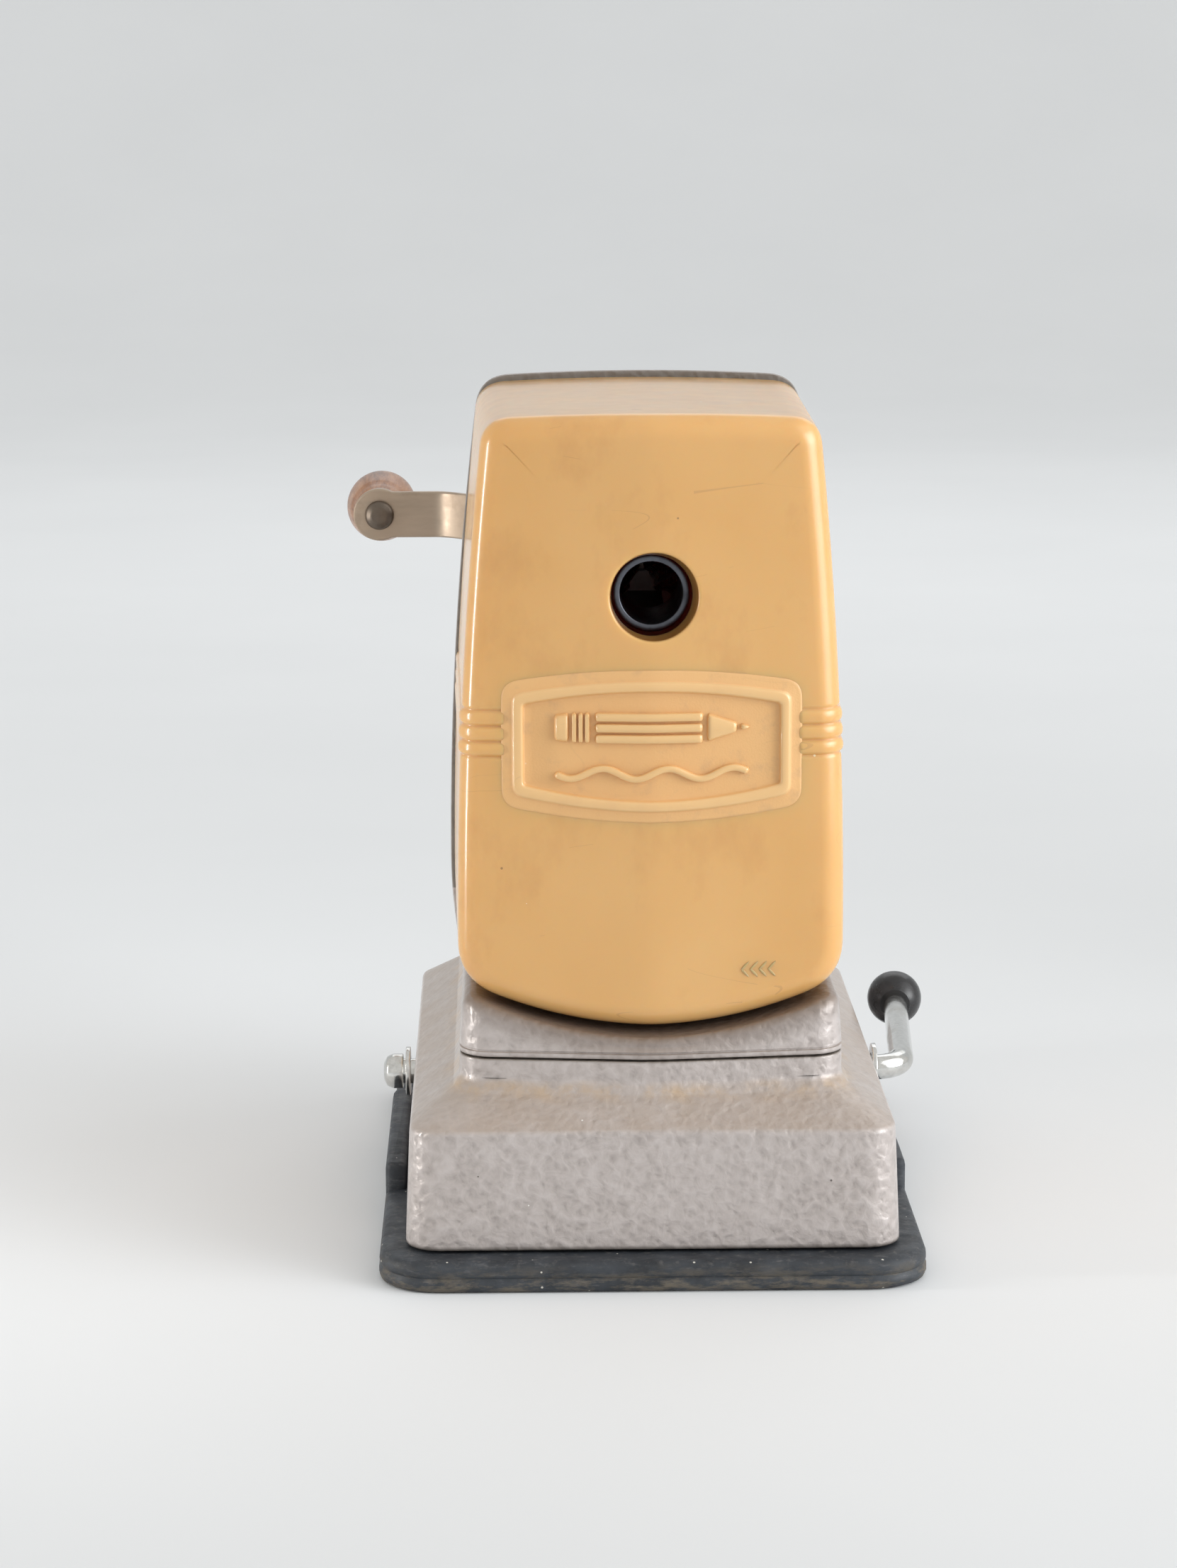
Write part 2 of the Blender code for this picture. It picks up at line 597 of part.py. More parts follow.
def cutter_frame(side):
    """World matrix whose Z runs along a cutter's axis to the rolling point, measured from that point."""
    direction = Vector((-side * math.sin(TILT), math.cos(TILT), 0))
    turn = Vector((0, 0, 1)).rotation_difference(direction).to_matrix().to_4x4()
    return Matrix.Translation(Vector((0, APEX_Y, AXIS_Z)) * MM) @ turn


def outward_phase(side):
    """Angle in the cutter's own plane that points away from the pencil."""
    outward = cutter_frame(side).to_3x3().inverted() @ Vector((side, 0, 0))
    return math.atan2(outward.y, outward.x)


def make_cutter(side, name, parent):
    rings = []
    steps = 5
    for step in range(steps + 1):
        share = step / steps
        phase = math.radians(CUTTER_TWIST) * share
        outline = gear_outline(CUTTER_FLUTES, CUTTER_RADIUS - 0.9, CUTTER_RADIUS, 0.75, 0.22, phase)
        distance = CUTTER_REAR + CUTTER_LENGTH * share
        rings.append([(x, y, -distance) for x, y in outline])
    cutter = loft(rings)
    cutter.matrix_world = cutter_frame(side)
    bore = rod((0, 0, -80), (0, 0, -20), AXLE_RADIUS + GAP, segments=16)
    bore.matrix_world = cutter_frame(side) @ bore.matrix_world
    cut(cutter, bore)
    finish(cutter, f"cutter_{name}", STEEL, parent, origin=parent.matrix_world.translation / MM)


def make_pinion(side, name, parent):
    rings = []
    for distance in (PINION_REAR, PINION_REAR + PINION_LENGTH):
        outline = cone_gear_ring(
            PINION_TEETH, PINION_CONE, distance, 0.5, 0.7, 0.24, 0.6, outward_phase(side)
        )
        rings.append([(x, y, -distance) for x, y in outline])
    pinion = loft(rings)
    pinion.matrix_world = cutter_frame(side)
    bore = rod((0, 0, -80), (0, 0, -20), AXLE_RADIUS + GAP, segments=16)
    bore.matrix_world = cutter_frame(side) @ bore.matrix_world
    cut(pinion, bore)
    finish(pinion, f"pinion_{name}", STEEL, parent, origin=parent.matrix_world.translation / MM)


def axle_tool(side, radius, rear, front):
    tool = rod((0, 0, -front), (0, 0, -rear), radius, segments=16)
    tool.matrix_world = cutter_frame(side) @ tool.matrix_world
    return tool


def make_carrier(crank):
    front = CARRIER_FRONT
    carrier = rod((0, front, AXIS_Z), (0, front + 3, AXIS_Z), CARRIER_RADIUS, segments=36)
    rear = rod((0, 10.6, AXIS_Z), (0, CARRIER_REAR, AXIS_Z), CARRIER_REAR_RADIUS, segments=24)
    bars = []
    for side in (-1, 1):
        slope = math.tan(TILT)
        ends = []
        for y in (front + 1, 12.0):
            inner = 5.8 + (12.0 - y) * slope
            low, high = sorted((AXIS_Z + side * inner, AXIS_Z + side * (inner + 3.2)))
            ends.append([(-3.2, y, low), (3.2, y, low), (3.2, y, high), (-3.2, y, high)])
        bars.append(loft(ends))
    join(carrier, *bars)
    join(carrier, rear)
    cut(carrier, rod((0, -60, AXIS_Z), (0, -15, AXIS_Z), TUBE_OUTER + GAP, segments=24))
    cut(carrier, rod((0, 5, AXIS_Z), (0, 30, AXIS_Z), SHAFT_RADIUS + GAP, segments=24))
    for side in (-1, 1):
        cut(carrier, axle_tool(side, AXLE_RADIUS + GAP, 25.0, 70.0))
    finish(carrier, "cutter_carrier", STEEL, crank)
    for side, name in ((-1, "left"), (1, "right")):
        finish(axle_tool(side, AXLE_RADIUS, 26.4, 61.6), f"cutter_axle_{name}", BRIGHT, crank)


def make_pencil_tube(crank):
    back = CARRIER_FRONT + 2.6
    outside = [(TUBE_INNER + 0.35, -TUBE_FRONT), (TUBE_OUTER, -TUBE_FRONT - 0.4), (TUBE_OUTER, -back)]
    inside = [(TUBE_INNER, -back), (TUBE_INNER, -TUBE_FRONT)]
    tube = turned(outside + inside, (0, 0, AXIS_Z), (0, -1, 0))
    finish(tube, "pencil_tube", BLACKENED, crank)


def make_shaft(crank):
    profile = [
        (0, 11.0),
        (SHAFT_RADIUS, 11.0),
        (SHAFT_RADIUS, CARRIER_REAR + GAP),
        (4.8, CARRIER_REAR + GAP),
        (4.8, 17.6),
        (SHAFT_RADIUS, 17.6),
        (SHAFT_RADIUS, ARM_HUB_Y + ARM_THICKNESS),
        (1.8, ARM_HUB_Y + ARM_THICKNESS),
        (1.8, 38.0),
        (0, 38.0),
    ]
    shaft = turned([(r, -y) for r, y in profile], (0, 0, AXIS_Z), (0, -1, 0))
    finish(shaft, "crank_shaft", BRIGHT, crank)


def ring(inner, outer, start, end, name, look, parent=None, direction="y", at=(0, AXIS_Z)):
    """A washer or bush from `start` to `end` along Y through (x, z), or along X through (y, z)."""
    profile = [(outer, -start), (outer, -end), (inner, -end), (inner, -start)]
    if direction == "y":
        obj = turned(profile, (at[0], 0, at[1]), (0, -1, 0))
    else:
        obj = turned(profile, (0, at[0], at[1]), (-1, 0, 0))
    return finish(obj, name, look, parent)


def make_bush_and_washers(crank):
    clear = SHAFT_RADIUS + GAP
    flange = [(6.8, -17.9), (6.8, -19.7), (4.5, -19.7)]
    sleeve = [(4.5, -BUSH_BACK), (clear, -BUSH_BACK), (clear, -17.9)]
    finish(turned(flange + sleeve, (0, 0, AXIS_Z), (0, -1, 0)), "shaft_bush", BRONZE)
    ring(clear, 6.6, BUSH_BACK + GAP, ARM_HUB_Y - GAP, "thrust_washer", STEEL, crank)
    arm_back = ARM_HUB_Y + ARM_THICKNESS
    ring(1.9, 4.6, arm_back + GAP, arm_back + 0.9, "lock_washer", STEEL, crank)
    screw = pan_screw((0, arm_back + 1.2, AXIS_Z), (0, -1, 0), 4.0, 1.5, 8.5, "crank_screw")
    screw.parent = crank
    screw.matrix_parent_inverse = crank.matrix_world.inverted()


def make_arm(crank):
    hub_y, outer_y, thick = ARM_HUB_Y, ARM_OUTER_Y, ARM_THICKNESS
    bend_in, bend_out = -20.0, -30.0
    side = [(8, hub_y), (bend_in, hub_y), (bend_out, outer_y), (-46, outer_y)]
    side += [(-46, outer_y + thick), (bend_out - 0.6, outer_y + thick)]
    side += [(bend_in - 0.6, hub_y + thick), (8, hub_y + thick)]
    arm = plate(side, 14.0, (0, 0, AXIS_Z))
    half = ARM_WIDTH / 2
    hub_angles = [math.radians(-140 + 280 * i / 16) for i in range(17)]
    end_angles = [math.radians(62 + 236 * i / 12) for i in range(13)]
    hub = [(5.6 * math.cos(a), 5.6 * math.sin(a)) for a in hub_angles]
    end = [(KNOB_X + 4 * math.cos(a), 4 * math.sin(a)) for a in end_angles]
    outline = hub + [(-8, half), (KNOB_X + 6, half)] + end + [(KNOB_X + 6, -half), (-8, -half)]
    face = plate(outline, 30.0, (0, 0, 0))
    face.matrix_world = Matrix.Translation((0, 0.05, AXIS_Z * MM)) @ Matrix.Rotation(math.pi / 2, 4, "X")
    combine(arm, face, "INTERSECT")
    cut(arm, rod((0, 30, AXIS_Z), (0, 60, AXIS_Z), SHAFT_RADIUS + GAP, segments=24))
    cut(arm, rod((KNOB_X, 30, AXIS_Z), (KNOB_X, 70, AXIS_Z), 1.9, segments=16))
    finish(arm, "crank_arm", STEEL, crank)


def make_knob(crank, spin):
    back = KNOB_FRONT + KNOB_LENGTH
    rivet = [
        (0, ARM_OUTER_Y - 1.6),
        (1.5, ARM_OUTER_Y - 1.4),
        (2.3, ARM_OUTER_Y - GAP),
        (1.6, ARM_OUTER_Y - GAP),
        (1.6, back + GAP),
        (2.7, back + GAP),
        (1.8, back + 1.2),
        (0, back + 1.4),
    ]
    place_at = (KNOB_X, 0, AXIS_Z)
    finish(turned([(r, -y) for r, y in rivet], place_at, (0, -1, 0), steps=24), "knob_rivet", STEEL, crank)
    washer_at = (KNOB_X, AXIS_Z)
    washer_front = ARM_OUTER_Y + ARM_THICKNESS + GAP
    ring(1.9, 3.9, washer_front, KNOB_FRONT - GAP, "knob_washer", STEEL, crank, at=washer_at)
    outer = []
    count = 8
    for i in range(count + 1):
        t = i / count
        swell = math.sin(math.pi * (0.12 + 0.76 * t))
        outer.append((3.2 + (KNOB_RADIUS - 3.2) * (swell - 0.37) / 0.63, KNOB_FRONT + KNOB_LENGTH * t))
    profile = outer + [(1.9, back), (1.9, KNOB_FRONT)]
    knob = turned([(r, -y) for r, y in profile], place_at, (0, -1, 0), steps=24)
    finish(knob, "crank_knob", WOOD, spin)


# ---------------------------------------------------------------- suction lever


def bent_path(start, corner, end, bend, steps=6):
    """A path that rounds one corner with an arc-like bend."""
    start, corner, end = Vector(start), Vector(corner), Vector(end)
    before = corner + (start - corner).normalized() * bend
    after = corner + (end - corner).normalized() * bend
    arc = []
    for i in range(steps + 1):
        t = i / steps
        arc.append(before * (1 - t) ** 2 + corner * 2 * t * (1 - t) + after * t * t)
    return [start, *arc, end]


def cam_centre():
    angle = math.radians(CAM_START)
    return LEVER_Y + CAM_OFFSET * math.cos(angle), LEVER_Z + CAM_OFFSET * math.sin(angle)


def make_lever(lever):
    start = (-35.6, LEVER_Y, LEVER_Z)
    corner = (BALL_X - 2.4, LEVER_Y, LEVER_Z)
    ball = Vector((BALL_X, BALL_Y, BALL_Z))
    towards = (ball - Vector(corner)).normalized()
    rod_end = ball - towards * 1.2
    lever_rod = wire(bent_path(start, corner, rod_end, 5.0), ROD_RADIUS)
    finish(lever_rod, "lever_rod", BRIGHT, lever)

    bm = bmesh.new()
    bmesh.ops.create_uvsphere(bm, u_segments=20, v_segments=12, radius=BALL_RADIUS)
    knob = place(object_from(bm, "ball"), ball, towards)
    cut(knob, rod(ball - towards * 8, ball - towards * 0.6, ROD_RADIUS + GAP, segments=16))
    finish(knob, "lever_knob", BLACK_PLASTIC, lever)

    cap = [(1.2, 37.1), (2.2, 36.4), (2.5, 35.2), (2.5, 34.3), (2.1, 34.3), (2.1, 35.9), (0, 35.9)]
    cap_obj = turned([(0, 37.2)] + cap, (0, LEVER_Y, LEVER_Z), (-1, 0, 0), steps=24)
    finish(cap_obj, "axle_cap", BRIGHT, lever)

    cam_y, cam_z = cam_centre()
    cam = rod((-2.5, cam_y, cam_z), (2.5, cam_y, cam_z), CAM_RADIUS, segments=24)
    cut(cam, rod((-9, LEVER_Y, LEVER_Z), (9, LEVER_Y, LEVER_Z), ROD_RADIUS + GAP, segments=24))
    angle = math.radians(CAM_START)
    outward = Vector((0, math.cos(angle), math.sin(angle)))
    axle = Vector((0, LEVER_Y, LEVER_Z))
    cut(cam, rod(axle, axle + outward * 9, 1.3, segments=12))
    finish(cam, "lift_cam", STEEL, lever)
    screw_start = axle + outward * (ROD_RADIUS + GAP)
    screw_end = axle + outward * (CAM_RADIUS + CAM_OFFSET - 0.4)
    finish(rod(screw_start, screw_end, 1.0, segments=12), "cam_set_screw", BLACKENED, lever)

    for side, name in ((-1, "left"), (1, "right")):
        near, far = sorted((side * 33.25, side * 33.95))
        ring(ROD_RADIUS + GAP, 3.5, near, far, f"axle_washer_{name}", BRIGHT, None, "x", (LEVER_Y, LEVER_Z))


def make_lift(lift):
    cam_z = cam_centre()[1]
    half_high, half_wide, rim = CAM_RADIUS + 0.45, CAM_RADIUS + CAM_OFFSET + 0.5, 2.0
    low, high = (-2, LEVER_Y - half_wide, cam_z - half_high), (2, LEVER_Y + half_wide, cam_z + half_high)
    stirrup = box(Vector(low) - Vector((0, rim, rim)), Vector(high) + Vector((0, rim, rim)))
    bevel(stirrup, 1.5)
    cut(stirrup, box(Vector(low) - Vector((3, 0, 0)), Vector(high) + Vector((3, 0, 0))))
    bottom = cam_z - half_high - rim
    join(stirrup, rod((0, LEVER_Y, 3.1), (0, LEVER_Y, bottom + 1), 2.0, segments=24))
    finish(stirrup, "lift_stirrup", STEEL, lift)

    nut = rod((0, LEVER_Y, 4.3), (0, LEVER_Y, 6.6), 4.2, segments=6)
    cut(nut, rod((0, LEVER_Y, 3), (0, LEVER_Y, 8), 2.3, segments=24))
    finish(nut, "lift_nut", STEEL, lift)
    disc = rod((0, 0, 2.8), (0, 0, 4.0), 20.0, segments=32)
    cut(disc, rod((0, LEVER_Y, 2), (0, LEVER_Y, 5), 2.3, segments=24))
    finish(disc, "lift_plate", STEEL, lift)
    rim = WELL_RADIUS - 0.5
    profile = [(0, 2.5), (23.2, 2.5), (rim, 1.8), (rim, 0.5), (23.6, 0), (0, 0)]
    pad = turned(profile, (0, 0, 0), (0, 0, 1), 36)
    finish(pad, "suction_diaphragm", RUBBER, lift)


def main():
    for obj in list(bpy.data.objects):
        bpy.data.objects.remove(obj, do_unlink=True)
    for collection in (PARTS, HELPERS):
        bpy.context.scene.collection.children.link(collection)
    HELPERS.hide_render = True

    make_suction_foot()
    make_base_casting()
    make_body_casting()
    make_foot_retainer()
    make_base_screws()
    make_catch()
    make_ring_gear()

    crank = pivot("crank_axis", (0, ARM_HUB_Y, AXIS_Z), (0, 1, 0))
    slide = pivot("receptacle_axis", (0, CUP_FRONT, AXIS_Z))
    spin = pivot("knob_axis", (KNOB_X, KNOB_FRONT, AXIS_Z), (0, 1, 0), crank)
    lever = pivot("lever_axis", (0, LEVER_Y, LEVER_Z), (1, 0, 0))
    lift = pivot("lift_axis", (0, LEVER_Y, 0))
    make_receptacle(slide)
    make_carrier(crank)
    make_pencil_tube(crank)
    make_shaft(crank)
    make_bush_and_washers(crank)
    make_arm(crank)
    make_knob(crank, spin)
    for side, name in ((-1, "left"), (1, "right")):
        middle = cutter_frame(side) @ Vector((0, 0, -CUTTER_REAR * MM))
        axis = Vector((-side * math.sin(TILT), math.cos(TILT), 0))
        turning = pivot(f"cutter_axis_{name}", middle / MM, axis, crank)
        make_cutter(side, name, turning)
        make_pinion(side, name, turning)
    make_lever(lever)
    make_lift(lift)


main()
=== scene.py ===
"""The looks of a hand-cranked desk pencil sharpener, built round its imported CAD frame.

Shapes are worked out in millimetres, in the CAD's own axes, and become meshes in metres. Main sizes
come from the CAD nodes' boxes and joints; the constants below are details that the boxes don't hold.
"""

import json
import math

import bmesh
import bpy
import numpy as np
from mathutils import Matrix, Vector


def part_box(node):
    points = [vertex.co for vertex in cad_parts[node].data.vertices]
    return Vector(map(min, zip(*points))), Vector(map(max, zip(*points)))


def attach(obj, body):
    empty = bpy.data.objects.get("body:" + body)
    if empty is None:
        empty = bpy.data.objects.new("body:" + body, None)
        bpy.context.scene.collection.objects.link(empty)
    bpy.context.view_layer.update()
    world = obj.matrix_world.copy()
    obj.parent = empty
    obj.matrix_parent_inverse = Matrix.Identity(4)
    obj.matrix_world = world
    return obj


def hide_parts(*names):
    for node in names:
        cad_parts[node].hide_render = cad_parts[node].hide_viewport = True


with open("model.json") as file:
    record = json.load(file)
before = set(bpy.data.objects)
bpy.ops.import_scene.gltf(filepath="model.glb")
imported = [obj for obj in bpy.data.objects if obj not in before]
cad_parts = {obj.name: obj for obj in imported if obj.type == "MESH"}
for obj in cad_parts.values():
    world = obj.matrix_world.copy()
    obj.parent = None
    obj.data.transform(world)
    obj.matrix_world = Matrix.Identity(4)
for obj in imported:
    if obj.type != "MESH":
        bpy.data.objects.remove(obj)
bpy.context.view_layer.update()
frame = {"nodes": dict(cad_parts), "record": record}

MM = 0.001
JOINTS = {joint["name"]: joint for joint in frame["record"]["behaviour"]["joints"]}


def box(node):
    """Lowest and highest corner of a CAD node, in millimetres."""
    low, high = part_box(node)
    return np.array(low) / MM, np.array(high) / MM


def joint_place(name):
    """A point on a joint's axis, in millimetres."""
    return np.array(JOINTS[name]["pos_m"]) / MM


AXIS_Z = joint_place("crank_turn")[2]
LEVER_Y, LEVER_Z = joint_place("lever_turn")[1:]
KNOB_X = joint_place("knob_spin")[0]
ALONG_Y = np.array([0.0, 1.0, 0.0])
PENCIL_LINE = np.array([0.0, 0.0, AXIS_Z])

CUP_LOW, CUP_HIGH = box("shavings_receptacle")
BADGE_PROUD = 0.55  # the badge's frame stands this far in front of the receptacle's face
CUP_FRONT, CUP_BACK = CUP_LOW[1] + BADGE_PROUD, CUP_HIGH[1]
CUP_DEPTH = CUP_BACK - CUP_FRONT
CUP_FLARE = 1.1  # each side widens this much towards the back
CUP_HALF_X = CUP_HIGH[0] - CUP_FLARE
CUP_WIDEST_Z, CUP_BELLY = 45.0, 631.0  # each side bulges on this radius about its widest height
CUP_KNEE_X, CUP_KNEE_Z, CUP_SHOULDER_Z = 20.5, 43.5, 110.0  # where the outline's corners start
CUP_RISE = 0.44  # the top climbs this much towards the back
CUP_TOP = CUP_HIGH[2] - CUP_RISE
CUP_FLOOR_RADIUS = AXIS_Z - CUP_LOW[2]
CUP_BOW = 2.5  # how far the front's sides stand behind its middle
FACE_SOFT = 1.1  # rounds the front's middle ridge
CUP_WALL = 1.8
CUP_HOLE_RADIUS = 5.75
HOLE_OFF_CENTRE = (0.28, -0.05)  # the receptacle sits a little to one side of the tube
HOLE_TAPER = 0.4  # its radius shrinks this much behind the face
EDGE_RADIUS = 3.0

BADGE_HALF_X, BADGE_TOP, BADGE_BOTTOM = 18.3, 79.4, 62.1
BADGE_TOP_ARC, BADGE_BOTTOM_ARC = 1.8, 2.1
BADGE_SUNK = 0.28  # the badge's field lies this far behind the face
HALO_X = BADGE_HALF_X + 1.5  # a low step runs round the badge, out to here
RIB_GROOVES = (75.36, 73.27, 71.2, 69.2)

HOUSING_LOW, HOUSING_HIGH = box("body_casting")
BASE_LOW, BASE_HIGH = box("base_casting")
FOOT_HIGH = box("suction_foot")[1]
JOINT_Z = (HOUSING_LOW[2] + BASE_HIGH[2]) / 2
HOUSING_FRONT, HOUSING_BACK = CUP_BACK + 0.35, 40.0
HOUSING_HALF_X, HOUSING_WIDEST_Z, HOUSING_BELLY = 27.46, 45.0, 530.0
HOUSING_WALL, HOUSING_TAPER = 2.6, 1.9
HOUSING_SHOULDER_Z = 110.6
SADDLE_RADIUS = CUP_FLOOR_RADIUS + 1.0
PEDESTAL_TOP = 38.6
NECK_HALF_X, NECK_FRONT, NECK_BACK, NECK_BOW = 25.7, -42.0, 42.0, 2.8


# ---------------------------------------------------------------- mesh tools


def smoothstep(low, high, value):
    """From 0 to 1 between two values, easing at both ends."""
    t = np.clip((np.asarray(value, float) - low) / (high - low), 0, 1)
    return t * t * (3 - 2 * t)


def soft_abs(x, soft=FACE_SOFT):
    """The size of x, with the corner at nought rounded off."""
    return np.sqrt(np.asarray(x, float) ** 2 + soft**2) - soft


def quarter(count):
    """Angles that climb from just above nought to a right angle."""
    return np.linspace(0, math.pi / 2, count)[1:]


def level(loop, z):
    """Plan points lifted to a height, or each to its own."""
    return np.column_stack([loop, np.broadcast_to(z, len(loop))])


def eased(points, radius, steps=5):
    """A path with its inner corners rounded; radius is one number, or one for each point."""
    points = np.asarray(points, float)
    radii = np.broadcast_to(radius, len(points))
    path = [points[0]]
    for i in range(1, len(points) - 1):
        back, ahead = points[i - 1] - points[i], points[i + 1] - points[i]
        reach = min(radii[i], 0.49 * np.linalg.norm(back), 0.49 * np.linalg.norm(ahead))
        if reach < 1e-6:
            path.append(points[i])
            continue
        start = points[i] + back / np.linalg.norm(back) * reach
        end = points[i] + ahead / np.linalg.norm(ahead) * reach
        for t in np.linspace(0, 1, steps + 1):
            path.append((1 - t) ** 2 * start + 2 * t * (1 - t) * points[i] + t * t * end)
    path.append(points[-1])
    return np.array(path)


def eased_loop(points, radius, steps=5):
    """The same for a closed path."""
    points = np.asarray(points, float)
    around = np.vstack([points[-1:], points, points[:1]])
    radii = np.broadcast_to(radius, len(points))
    return eased(around, np.concatenate([radii[-1:], radii, radii[:1]]), steps)[1:-1]


def filled(points, spacing):
    """A path with extra points, so that no stretch is longer than spacing."""
    out = []
    for a, b in zip(points, points[1:]):
        count = max(1, int(math.ceil(np.linalg.norm(b - a) / spacing)))
        out += [a + (b - a) * i / count for i in range(count)]
    return np.array(out + [points[-1]])


def outward_normals(loop):
    """Outward unit normals of a closed counter-clockwise loop of 2-D points."""
    along = np.roll(loop, -1, axis=0) - np.roll(loop, 1, axis=0)
    normal = np.stack([along[:, 1], -along[:, 0]], axis=1)
    return normal / np.linalg.norm(normal, axis=1, keepdims=True)


def skin(rows, join_ends=False, caps=True):
    """Corners and faces of a surface through equal rings of points."""
    rows = np.asarray(rows, float)
    count, around = rows.shape[:2]
    index = np.arange(count * around).reshape(count, around)
    upper = np.roll(index, -1, axis=0) if join_ends else index[1:]
    lower = index if join_ends else index[:-1]
    faces = np.stack([lower, np.roll(lower, -1, axis=1), np.roll(upper, -1, axis=1), upper], axis=-1)
    faces = faces.reshape(-1, 4).tolist()
    if caps and not join_ends:
        faces += [index[0].tolist(), index[-1][::-1].tolist()]
    return rows.reshape(-1, 3), faces


def add_object(name, data):
    """A new object in the scene."""
    obj = bpy.data.objects.new(name, data)
    bpy.context.scene.collection.objects.link(obj)
    return obj


def mesh_of(name, shells):
    """A smooth mesh from closed shells, in metres."""
    bm = bmesh.new()
    for corners, faces in shells:
        verts = [bm.verts.new(corner * MM) for corner in corners]
        made = [bm.faces.new([verts[i] for i in face]) for face in faces]
        bmesh.ops.recalc_face_normals(bm, faces=made)
    for face in bm.faces:
        face.smooth = True
    mesh = bpy.data.meshes.new(name)
    bm.to_mesh(mesh)
    bm.free()
    return mesh


def build(name, shells, material, body, nodes=(), sharp=40.0):
    """One piece from closed shells: it rides on a body and stands for CAD nodes."""
    mesh = mesh_of(name, shells)
    mesh.set_sharp_from_angle(angle=math.radians(sharp))
    mesh.materials.append(material)
    obj = add_object(name, mesh)
    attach(obj, body)
    if nodes:
        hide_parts(*nodes)
    return obj


def across(direction):
    """Two unit vectors that make a right-handed frame with a direction."""
    direction = np.asarray(direction, float)
    direction = direction / np.linalg.norm(direction)
    helper = np.array([0.0, 0.0, 1.0]) if abs(direction[2]) < 0.9 else np.array([1.0, 0.0, 0.0])
    side = np.cross(helper, direction)
    side /= np.linalg.norm(side)
    return side, np.cross(direction, side), direction


def lathe(profile, start, direction, steps=72, ring=False):
    """Spin (radius, height) points about a line; `ring` joins the profile's ends, as on a washer."""
    side, up, along = across(direction)
    start = np.asarray(start, float)
    rows = []
    for radius, height in profile:
        angles = np.linspace(0, math.tau, steps, endpoint=False)
        spin = np.outer(np.cos(angles), side) + np.outer(np.sin(angles), up)
        rows.append(start + along * height + spin * max(radius, 0.01))
    return skin(rows, join_ends=ring)


def ring_shell(inner, outer, low, high, start, direction, edge=0.15, steps=72):
    """A washer or bush with softened edges."""
    profile = eased_loop([(inner, low), (outer, low), (outer, high), (inner, high)], edge, 3)
    return lathe(profile, start, direction, steps, ring=True)


# ---------------------------------------------------------------- material tools


